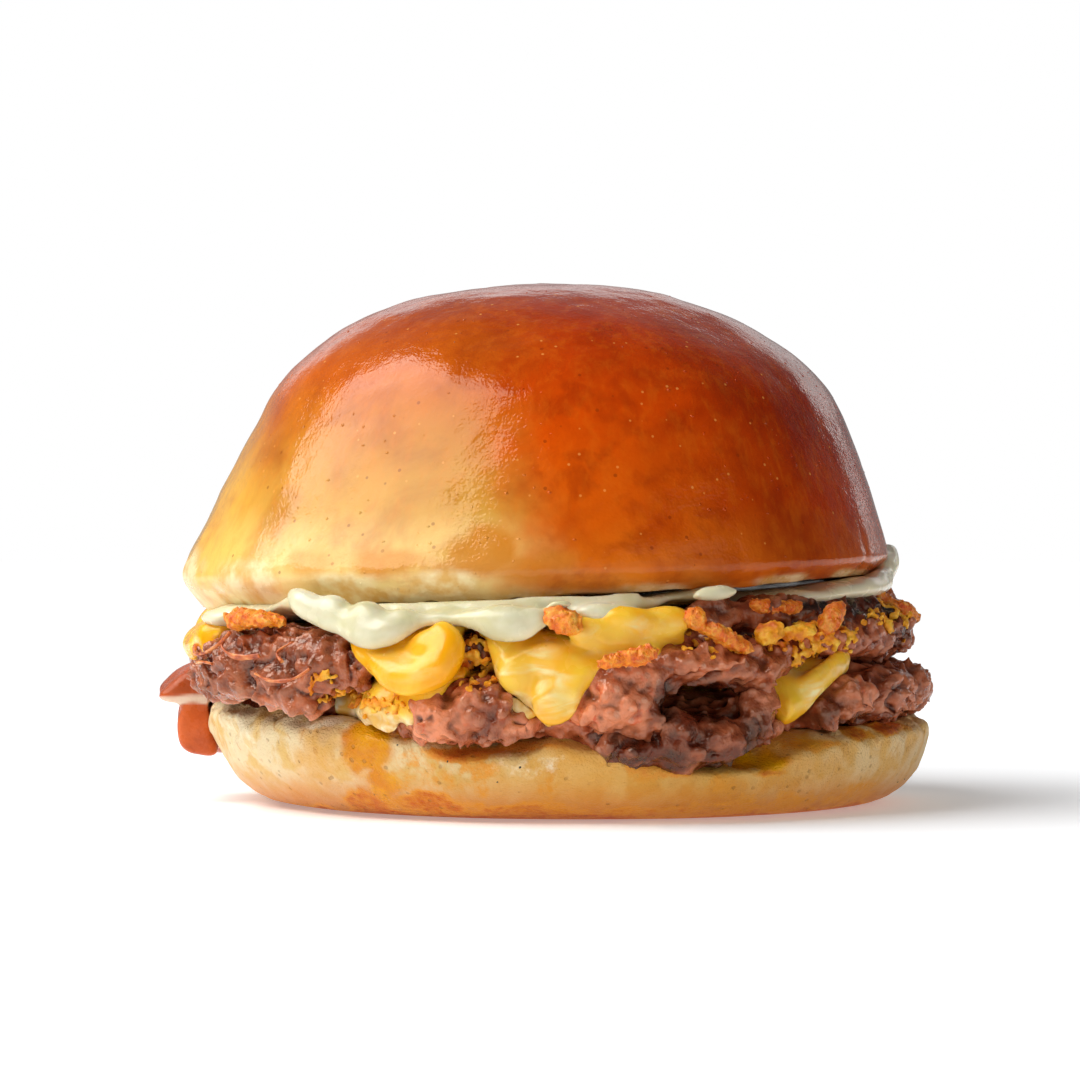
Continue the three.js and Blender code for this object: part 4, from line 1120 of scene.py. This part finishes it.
LOWER_LOBES += trail([
    (53.5, 58.6, 24.6, 1.6), (50.5, 60.0, 24.0, 2.2), (47, 60.2, 22.2, 2.4), (44, 60.0, 20.4, 2.6),
    (41.4, 59.4, 18.2, 2.8), (39.4, 58.8, 16.4, 2.2)], 18, 0.45)
UPPER_PALE = [
    (-1, 23, 7, 6, 1.0), (3, 18, 4, 3, 0.8), (12, 28.5, 9, 3.4, 1.0), (-18, 24, 5, 2.2, 0.5),
    (150, 26, 12, 6, 0.8), (220, 25, 12, 6, 0.8)]
LOWER_PALE = [(46, 20, 6, 4, 1.0), (-30, 17, 12, 2.2, 1.0), (180, 17, 20, 4, 0.8)]
upper_slice = melted_slice("Upper_slice", UPPER_PATTY, UPPER_EDGE, UPPER_LOBES, 41, 47)
lower_slice = melted_slice("Lower_slice", LOWER_PATTY, LOWER_EDGE, LOWER_LOBES, 44, 44)
spotted(upper_slice, "pale", UPPER_PALE, 0.3, 47)
spotted(lower_slice, "pale", LOWER_PALE, 0.3, 47)
print("slices:", len(upper_slice.data.polygons), len(lower_slice.data.polygons), "faces")

# %% [markdown]
# ## Sauce
# The sauce was squeezed on and pressed out by the crown, so it's a thin disc with fat drops along
# its rim. The disc's rim follows its table and the drops are balls; both melt together, and many
# rounds of blur round them off as a thick liquid rounds itself.
# %% Sauce
SAUCE_RIM = [
    (-95, 54, 31, 29.4), (-72, 56, 31.6, 28.8), (-60, 58.6, 32.4, 28.8), (-49, 57.4, 33.0, 30.4),
    (-42, 58.4, 34.8, 31.6), (-36, 59.4, 34.0, 31.4), (-31, 58.6, 32.6, 29.6), (-27, 58.4, 32.0, 28.8),
    (-22, 58.4, 31.8, 28.8), (-16, 58.4, 32.4, 29.6), (-11, 58.6, 32.6, 29.4), (-5, 59.4, 32.8, 28.8),
    (0, 59.4, 33.0, 29.6), (4, 59.4, 33.6, 31.2), (9, 60.0, 33.8, 30.6), (14, 59.0, 34.0, 31.6),
    (18, 56.6, 34.2, 32.6), (22, 54.4, 34.8, 33.6), (28, 58.0, 35.8, 34), (33, 49, 34.0, 33.0),
    (38, 48, 33.8, 32.8), (42, 54.6, 34.6, 32.8), (49, 57.8, 35.2, 32.9), (58, 58.4, 36.2, 33.2),
    (68, 58.6, 36.8, 33.4), (77, 58.2, 38.4, 33.6), (84, 57.6, 41.2, 33.8), (92, 57.4, 42.0, 34.2),
    (102, 55.4, 37, 34.0), *hidden_rows(9, 37, [(54, 61.5), (33.6, 34.6), (28.6, 31.4)])]
DROPS = blobs(
    (-25.2, 60.8, 30.8, 3.6, 2.7, 3.1, 20), (-30.4, 60.4, 32.2, 3.2, 2.4, 2.2, 40),
    (-20, 60.0, 31.0, 3.4, 2.2, 1.9), (-4.8, 60.8, 30.6, 5.6, 3.0, 3.1, 5),
    (-9.4, 60.0, 31.0, 3.0, 2.2, 1.9, 6), (-14, 58.8, 31.0, 4.0, 2.0, 1.5),
    (-0.6, 61.0, 31.4, 2.6, 2.2, 1.7, 20), (2.8, 61.4, 33.4, 2.2, 1.6, 1.0),
    (10.6, 59.8, 31.8, 6.0, 2.0, 1.7, 6), (26.8, 59.0, 34.8, 4.4, 1.7, 1.2, -6),
    (-61, 58.2, 30.4, 4.2, 2.0, 1.4), (126, 59.4, 31.6, 5.0, 2.4, 2.2), (168, 60, 31.2, 6.0, 2.4, 2.4),
    (212, 60, 31.6, 5.0, 2.4, 2.2), (246, 58.6, 31.2, 4.4, 2.2, 2.0))
DROPS += trail([
    (-38.6, 60.0, 34.4, 1.4), (-36.3, 61.0, 33.4, 2.2), (-34.0, 61.2, 32.4, 2.3), (-31.8, 61.0, 31.2, 2.1),
    (-29.2, 60.8, 30.6, 2.0), (-27.0, 61.2, 29.6, 2.3), (-25.0, 61.6, 28.9, 2.4), (-22.6, 61.6, 29.0, 2.4),
    (-20.0, 61.0, 29.8, 1.9), (-17.6, 59.8, 30.6, 1.4), (-14, 59.4, 31.4, 1.3)], 40)
DROPS += trail([
    (-46, 56.6, 32.4, 0.8), (-38, 57.4, 32.8, 1.2), (-32, 57.2, 32.2, 1.1), (-26, 57.0, 32.5, 1.1),
    (-18, 57.0, 33.0, 1.1), (-12, 57.2, 33.1, 1.1), (-6, 57.6, 33.2, 1.2), (0, 57.6, 33.6, 1.2),
    (7, 57.2, 33.9, 1.0), (15, 56.2, 34.5, 0.8)], 60)
DROPS += trail(
    [(71, 56.0, 36.4, 0.5), (79, 56.8, 37.2, 0.9), (85, 57.0, 38.6, 1.5), (90, 56.8, 40.4, 1.6)], 16)
SAUCE_BOTTOM, SAUCE_TOP = 31.6, 33.5
radius, top, bottom = row_at(SAUCE_RIM, TURNS)
inner = settled(TURNS, SAUCE_BOTTOM)
outline = section(TURNS, [
    (0, SAUCE_BOTTOM), (CORE_RADIUS, inner), (radius - 6, mix(inner, bottom, 0.5)),
    (radius - 1.8, bottom + 0.06 * (top - bottom)), (radius, mix(bottom, top, 0.4)),
    (radius - 0.9, mix(bottom, top, 0.82)), (radius - 2.6, top), (radius - 5.5, np.minimum(top, inner + 3)),
    (CORE_RADIUS, inner + 1.9), (0, SAUCE_TOP)])
sauce_piece = piece("Sauce", *joined([revolved(TURNS, smooth_line(outline, 80))] + DROPS), sauce)
melted(sauce_piece, 0.5, 12)
points, normals = skin(sauce_piece)
free = ease(from_axis(points), 50, 55)
pushed(sauce_piece, points, normals, lumpy(points, (0.3, 6, 51), (0.12, 2.8, 52)) * free, 3)
thinned(sauce_piece, 0.45, 1 - free)
mark_hollows(sauce_piece, "hollow", 8, 0.4)
print("sauce:", len(sauce_piece.data.polygons), "faces")

# %% [markdown]
# ## Crisp onion
# Each large piece is a strip of onion in fried batter. A lumpy rounded box is its core; the scatter
# tree covers it in ragged bits of batter, and a fine remesh makes one crust of them. The solids give
# its place, size and turn. Six more lie hidden at the back.
# %% Onion chips
SMALL_BITS = (33, 42)
CHIPS = [
    (-46.6, 60.4, 30.6, (14.6, 3.0, 6), -3), (3.3, 62.2, 31, (5.8, 4.2, 5), -20),
    (22, 61.8, 31, (3.8, 3.6, 4), -35), (27.4, 62, 27.8, (9.8, 3, 5), -24),
    (34.4, 61.4, 29, (3.8, 3.4, 4), 30), (41, 60.8, 29.0, (6.2, 2.6, 4.4), 8),
    (48, 60.4, 30.6, (3.8, 6.0, 4), -16), (39.5, 56, 32.4, (9.5, 2.8, 5), 0),
    (76, 58.6, 31.9, (10.5, 2.8, 6), -26), (11.5, 65.4, 25.4, (8, 3.2, 3.4), 12),
]
draws = dice(977)
for i in range(6):
    at, out, up, wide, tall, deep, roll = (next(draws) / DICE_TOP for _ in range(7))
    size = (5 + 6 * wide, 2.8 + 1.4 * tall, 4.5 + 2.5 * deep)
    CHIPS.append((
        112 + 132 * (i + 0.2 + 0.6 * at) / 6, 59.4 + 1.6 * out, 31.4 + 1.2 * up, size, -25 + 50 * roll))


def chip(name, at, radius, height, size, roll, seed):
    """A piece of onion: its bearing, out and height, its size across, up, and in and out, and its roll."""
    points, faces = ball(28, 40)
    half = np.array([size[0], size[2], size[1]]) * 0.5 - [0.1, 0.5, 0.4]
    box = np.sign(points) * np.abs(points) ** 0.72 * half
    box *= (1 + 0.34 * lumps(box + seed * 9, 2.8, seed))[:, None]
    box[:, 2] += 0.06 * half[0] * lumps(box * [1, 0, 0] + seed, 6, seed + 4)
    facing = 38 if 70 < at < 90 else at  # the one at the right rim shows its long side to the front
    finish = crumbly if SMALL_BITS[0] < at < SMALL_BITS[1] and radius > 60 else crisp
    obj = piece(name, turned(box, -roll, facing) + polar(np.array([at]), radius, height), faces, finish)
    mark(obj, "batter", np.ones(len(points)))
    scattered(obj, "batter", Per_square_mm=1.5, Smallest=(0.25, 0.2, 0.15), Largest=(0.8, 0.6, 0.32),
              Raggedness=0.35, Ragged_size=0.6, Seed=seed, Keep_surface=True, Sink=0.05, Tumble=0.4)
    melted(obj, 0.21, 1)
    points, normals = skin(obj)
    bitten = 0.2 * lumps(points, 1.7, seed + 5) + 0.1 * (1 - 3 * np.abs(lumps(points, 0.9, seed + 6)))
    pushed(obj, points, normals, bitten, 1)
    mark_hollows(obj, "hollow", 5, 0.16)
    return obj


chips = [chip(f"Onion_{i + 1:02d}", *row, 60 + i) for i, row in enumerate(CHIPS)]
print("onion chips:", len(chips))

# %% [markdown]
# ## Bacon
# One rasher starts between the patties on the left, folds back over itself and hangs outside the
# heel. Its section is that fold, run back along the burger with a ripple, and its two cut ends are
# drawn in a little so they look bitten off, not sawn.
# %% Bacon
BACON_SECTION = np.array([
    (-42, 18.6), (-47, 18.2), (-52.4, 17.6), (-53.6, 16.4), (-53.0, 12.4), (-52.4, 8.4), (-55, 8.4),
    (-58.2, 10.0), (-58.9, 13.4), (-58.4, 16.2), (-59.6, 16.9), (-61.9, 17.6), (-60.8, 19.4), (-57.6, 21.8),
    (-52, 22.8), (-47, 21.8), (-42, 21)])
BACON_MIDDLE = np.array([(-50, 20.2), (-57.4, 19.0), (-56.8, 15), (-56.6, 10)])
BUN_RADIUS = 58.2
loop = smooth_line(np.concatenate([BACON_SECTION[-2:], BACON_SECTION, BACON_SECTION[:2]])[None], 190)[0]
around = np.linalg.norm(loop - BACON_SECTION[0], axis=1)
loop = loop[int(np.argmin(around[:60])):100 + int(np.argmin(around[100:]))]
nearest = BACON_MIDDLE[np.argmin(np.linalg.norm(loop[:, None] - BACON_MIDDLE[None], axis=2), 1)]
rows = []
for depth in np.linspace(-7, 18, 60):
    drawn_in = 0.75 * (1 - np.sqrt(np.clip(1 - ((depth - 5.5) / 12.6) ** 24, 0, 1)))
    x, z = mix(loop, nearest, drawn_in).T
    outer = ease(-x, 48, 58)
    ripple = 0.9 * outer * np.sin(depth / 3.6 + 0.04 * z)
    round_bun = BUN_RADIUS - math.sqrt(BUN_RADIUS**2 - depth**2)
    rows.append(np.stack([x + round_bun, depth + 0 * x, z + ripple - outer * 0.05 * (depth + 7)], -1))
rows = np.array(rows)
count, wide = rows.shape[:2]
points = np.vstack([rows.reshape(-1, 3), rows[0].mean(0), rows[-1].mean(0)])
steps = [(j, (j + 1) % wide) for j in range(wide)]
faces = [
    [i + j, i + k, i + wide + k, i + wide + j] for i in range(0, (count - 1) * wide, wide) for j, k in steps]
last = (count - 1) * wide
faces += [[len(points) - 2, k, j] for j, k in steps]
faces += [[len(points) - 1, last + j, last + k] for j, k in steps]
bacon = melted(piece("Bacon", points, faces, bacon_finish), 0.4, 3)
points, normals = skin(bacon)
points = pushed(bacon, points, normals, lumpy(points, (0.3, 4, 81), (0.12, 1.8, 82)))
fat_line = ease(np.abs(points[:, 2] - 16.6 + 0.6 * lumps(points, 3, 83)), 0.9, 0.4)
mark(bacon, "fat", fat_line * ease(points[:, 0], -52.5, -54) * 0.9)
print("bacon:", len(bacon.data.polygons), "faces")

# %% [markdown]
# ## Crumbs, threads, blisters and pepper
# Onion crumbs lie where they fell, on the rims of both patties and on the slice. They cling
# together in a lace with gaps, so the mark that says how likely a crumb is runs in veins, and a
# fine remesh joins the flakes that touch. Pepper and blisters are the same tree with other sizes.
# %% Crumbs
CRUMBED = [
    (upper_patty, [
        (40, 27, 6, 2.6, 1.0), (47, 28, 6, 2.8, 1.0), (66, 29.4, 7, 2.6, 1.0), (74, 30, 4, 2, 0.9),
        (27, 27.0, 6, 1.6, 0.9), (-33, 20.5, 3, 2.4, 0.9), (-10, 25.5, 3.4, 4, 0.9), (140, 28, 10, 3, 0.7),
        (200, 28, 9, 3, 0.7)]),
    (lower_patty, [(-8, 21.4, 3.2, 1.8, 0.9), (160, 18, 8, 3, 0.5)]),
    (lower_slice, [(-31, 19.6, 3, 2.4, 1.0), (-26, 18.8, 4, 2, 1.0), (-21.5, 18.6, 3, 1.4, 0.9)]),
]
beds = []
for surface, spots in CRUMBED:
    points = read(surface)
    veins = ease(lumpy(points, (1, 1.8, 91), (0.5, 0.9, 92)), -0.12, 0.2)
    mark(surface, "crumbs", stained(points, spots, 0.5, 90) * veins * ease(from_axis(points), 48, 51))
    beds.append(scattered(
        surface, "crumbs", Per_square_mm=2.6, Smallest=(0.3, 0.22, 0.16), Largest=(0.85, 0.6, 0.38),
        Raggedness=0.4, Ragged_size=0.6, Seed=7, Sink=-0.25, Material=crumbly))
crumbs = beds[0]
with bpy.context.temp_override(active_object=crumbs, selected_editable_objects=beds):
    bpy.ops.object.join()
melted(crumbs, 0.22, 0)
crumbs.name = "Onion_crumbs"
print("crumb faces:", len(crumbs.data.polygons))

# %% [markdown]
# A few shallots fried to threads lie on the left patty. Each is a curve through listed
# points, and a second Geometry Nodes tree gives every curve a flat, uneven section, since a thread
# simply follows its path.
# %% Threads
THREADS = [
    [(-67, 58.6, 26.6), (-62, 61.2, 25.2), (-57, 62.6, 25.0), (-52.5, 63.2, 26.2), (-50.4, 63.0, 27.6)],
    [(-49.6, 62.6, 28.6), (-50.6, 63.4, 26.6), (-48.4, 63.8, 25.2), (-45.6, 63.6, 24.8), (-42.6, 63.2, 25.2)],
    [(-60, 61.6, 23.4), (-56.5, 62.8, 23.8), (-53, 63.2, 23.6)],
    [(-43.5, 63.2, 22.4), (-40, 63.4, 21.4), (-36.6, 62.8, 21.8), (-34.2, 62.0, 23.4)],
    [(-37, 62.4, 27.4), (-39.5, 62.8, 25.8), (-38.5, 63.0, 24.4)],
]


def thread_tree():
    tree, nodes, given = geometry_tree("Threads", ("Radius", "Float", 0.0003), ("Material", "Material"))
    add = nodes.add
    path = add("GeometryNodeResampleCurve", {"Curve": given["Geometry"], "Count": 40})
    width = nodes.times(add("ShaderNodeTexNoise", {"Scale": 420}), given["Radius"])
    cut = add("GeometryNodeCurvePrimitiveCircle", {"Resolution": 8, "Radius": 1.0})
    cut = add("GeometryNodeTransform", {"Geometry": cut, "Scale": (1.0, 0.55, 1.0)})
    tube = add("GeometryNodeCurveToMesh", {
        "Curve": path, "Profile Curve": cut, "Scale": width, "Fill Caps": True})
    tube = add("GeometryNodeRealizeInstances", {"Geometry": tube})
    return close_group(tree, add("GeometryNodeSetMaterial", {
        "Geometry": tube, "Material": given["Material"]}))


paths = bpy.data.curves.new("Thread_paths", "CURVE")
paths.dimensions = "3D"
for route in THREADS:
    line = smooth_line(np.array(route)[None], 24)[0]
    spline = paths.splines.new("POLY")
    spline.points.add(len(line) - 1)
    place = polar(line[:, 0], line[:, 1], line[:, 2]) * MM
    spline.points.foreach_set("co", np.concatenate([place, np.ones((len(line), 1))], 1).ravel())
carrier = linked(bpy.data.objects.new("Thread_paths", paths))
grown(carrier, "Threads", thread_tree(), Radius=0.0009, Material=shallot)
mesh = bpy.data.meshes.new_from_object(carrier.evaluated_get(bpy.context.evaluated_depsgraph_get()))
threads = linked(bpy.data.objects.new("Shallot_threads", mesh))
bpy.data.objects.remove(carrier)
mesh.polygons.foreach_set("use_smooth", [True] * len(mesh.polygons))
print("threads:", len(mesh.polygons), "faces")

# %% [markdown]
# Blisters are where steam lifted the glaze: low domes a fraction of a millimetre across. Pepper is
# ground coarse. Its flakes lie on the heel, and what is in the sauce is dark specks in its finish.
# %% Blisters and pepper
def sprinkled(surface, mark_name, name, likely, **settings):
    """Small loose things all over a surface, the more of them the higher likely is."""
    mark(surface, mark_name, likely)
    obj = scattered(surface, mark_name, Roundness=1, **settings)
    obj.name = name
    return obj


points = read(crown)
likely = ease(points[:, 2], 34, 42) * ease(from_axis(points), 4, 20) * ease(lumps(points, 15, 95), -0.6, 0.4)
blisters = sprinkled(
    crown, "blisters", "Glaze_blisters", likely, Per_square_mm=0.03, Smallest=(0.18, 0.18, 0.08),
    Largest=(0.42, 0.36, 0.16), Seed=11, Tumble=0.0, Sink=0.05, Material=crust)
points = read(heel)
likely = ease(points[:, 2], 1.5, 4) * ease(from_axis(points), 46, 52) * ease(lumps(points, 12, 96), -0.5, 0.5)
flakes = sprinkled(
    heel, "pepper", "Pepper_flakes", likely, Per_square_mm=0.012, Smallest=(0.1, 0.08, 0.05),
    Largest=(0.32, 0.22, 0.12), Raggedness=0.1, Ragged_size=0.3, Seed=12, Tumble=0.2, Material=pepper)
print("blister faces:", len(blisters.data.polygons), "pepper faces:", len(flakes.data.polygons))

# %% [markdown]
# ## Frame
# Every piece hangs from the root body, and the solid it stands for, if any, is hidden. The hidden
# solids stay for contact, and the pieces are what is seen.
for obj, slot, node in (
        (crown, "crust", "bun_crown"), (heel, "crumb", "bun_heel"),
        (lower_patty, "meat", "patty_lower"), (upper_patty, "meat", "patty_upper"),
        (lower_slice, "cheese", "cheese_lower"), (upper_slice, "cheese", "cheese_upper"),
        (sauce_piece, "sauce", "sauce"), *((obj, "crisp_onion", obj.name.lower()) for obj in chips),
        (bacon, "bacon", "bacon")):
    declare(obj, slot, node)
for obj, slot in ((crumbs, "crisp_onion"), (threads, "crisp_onion"), (blisters, "crust"), (flakes, "meat")):
    declare(obj, slot)

# %% [markdown]
# ## Studio
# A pale floor that glows: white far out, and faint grey near the burger, which is painted light that
# lightens the burger's shadow. One large soft light at the front left, whose reflection is the bright
# patch on the crown, weak fill from the front right, and two weak lights behind. The surroundings are
# dimmer towards the front, so the glaze stays saturated, and lighter behind, which gives the grey rim
# along the crown's top.
# %% Floor and light
FLOOR_RADIUS, FLOOR_HEIGHT = 2600, -0.05
pale, paint, connect = finish_named("Pale floor", Roughness=0.7, Emission_Strength=1.0)
away = paint.add("ShaderNodeVectorMath", {0: paint.place()}, out="Value", operation="LENGTH")
away = paint.times(away, 1000.0)
near = paint.ramp(paint.noise(160, 3), [(0.3, (240, 242, 244)), (0.7, (247, 248, 249))])
# The floor glows: faint grey near the burger, painted light that lightens its shadow, and white further out,
# where its own colour fades to black.
connect(Base_Color=paint.blend(paint.step(away, 110.0, 460.0), near, (0, 0, 0)),
        Emission_Color=paint.blend(paint.step(away, 60.0, 330.0), (140, 140, 140), (255, 255, 255)),
        Roughness=paint.patchy(60, 0.3, 0.7, 0.65, 0.8))
ring = np.linspace(0, 2 * np.pi, 96, endpoint=False)
disc = np.stack([FLOOR_RADIUS * np.cos(ring), FLOOR_RADIUS * np.sin(ring), 0 * ring + FLOOR_HEIGHT], -1)
floor = piece("Floor", disc, [list(range(len(ring)))], pale)


def soft_light(name, place, aim, size, power):
    """A rectangle of light at a place, turned to its aim. These are metres, and watts."""
    lamp = bpy.data.lights.new(name, "AREA")
    lamp.shape, lamp.size, lamp.size_y, lamp.energy = "RECTANGLE", *size, power
    obj = linked(bpy.data.objects.new(name, lamp))
    obj.location = place
    obj.rotation_euler = (Vector(aim) - Vector(place)).to_track_quat("-Z", "Y").to_euler()


soft_light("Key", (-0.477, -0.139, 0.60), (0, 0, 0.05), (0.88, 0.60), 8.9)
soft_light("Back", (0.1, 1.15, 0.46), (0, 0, 0.06), (1.3, 0.25), 0.7)
soft_light("Rim", (0.7, 1.0, 0.36), (0, 0, 0.05), (0.1, 0.45), 0.2)
soft_light("Fill", (1.3, -1.7, 0.5), (0, 0, 0.04), (2.4, 1.6), 6.5)

world = bpy.data.worlds.new("Studio")
bpy.context.scene.world = world
world.use_nodes = True
room = Paint(world.node_tree)
facing = room.add("ShaderNodeSeparateXYZ", {0: room.add("ShaderNodeTexCoord", out="Generated")}, out="Y")
level = room.step(facing, 0.3, 1.0, 0.05, 0.3)
shade = room.blend(room.add("ShaderNodeLightPath", out="Is Camera Ray"), level, (255, 255, 255))
world.node_tree.links.new(shade, world.node_tree.nodes["Background"].inputs["Color"])

# %% [markdown]
# The photograph was taken from 0.75 m in front, with the camera 50 mm above the board and a long
# lens, which is why the burger looks nearly flat-on. The lens length comes from the frame's width:
# 1080 pixels across, 36 mm of sensor.
# %% Camera
FRAME_PIXELS, FOCAL_PIXELS, SENSOR = 1080, 4612, 36.0
CAMERA_AWAY, CAMERA_HEIGHT, TILT_DOWN = 0.75, 0.05, 0.584
camera_data = bpy.data.cameras.new("Camera")
camera_data.sensor_width, camera_data.lens = SENSOR, SENSOR * FOCAL_PIXELS / FRAME_PIXELS
camera_data.clip_start, camera_data.clip_end = 0.05, 20.0
camera = linked(bpy.data.objects.new("Camera", camera_data))
camera.location = (0, -CAMERA_AWAY, CAMERA_HEIGHT)
camera.rotation_euler = (math.radians(90 - TILT_DOWN), 0, 0)
bpy.context.scene.camera = camera
bpy.context.scene.view_settings.view_transform = "Standard"
print("lens:", round(camera_data.lens, 1), "mm")
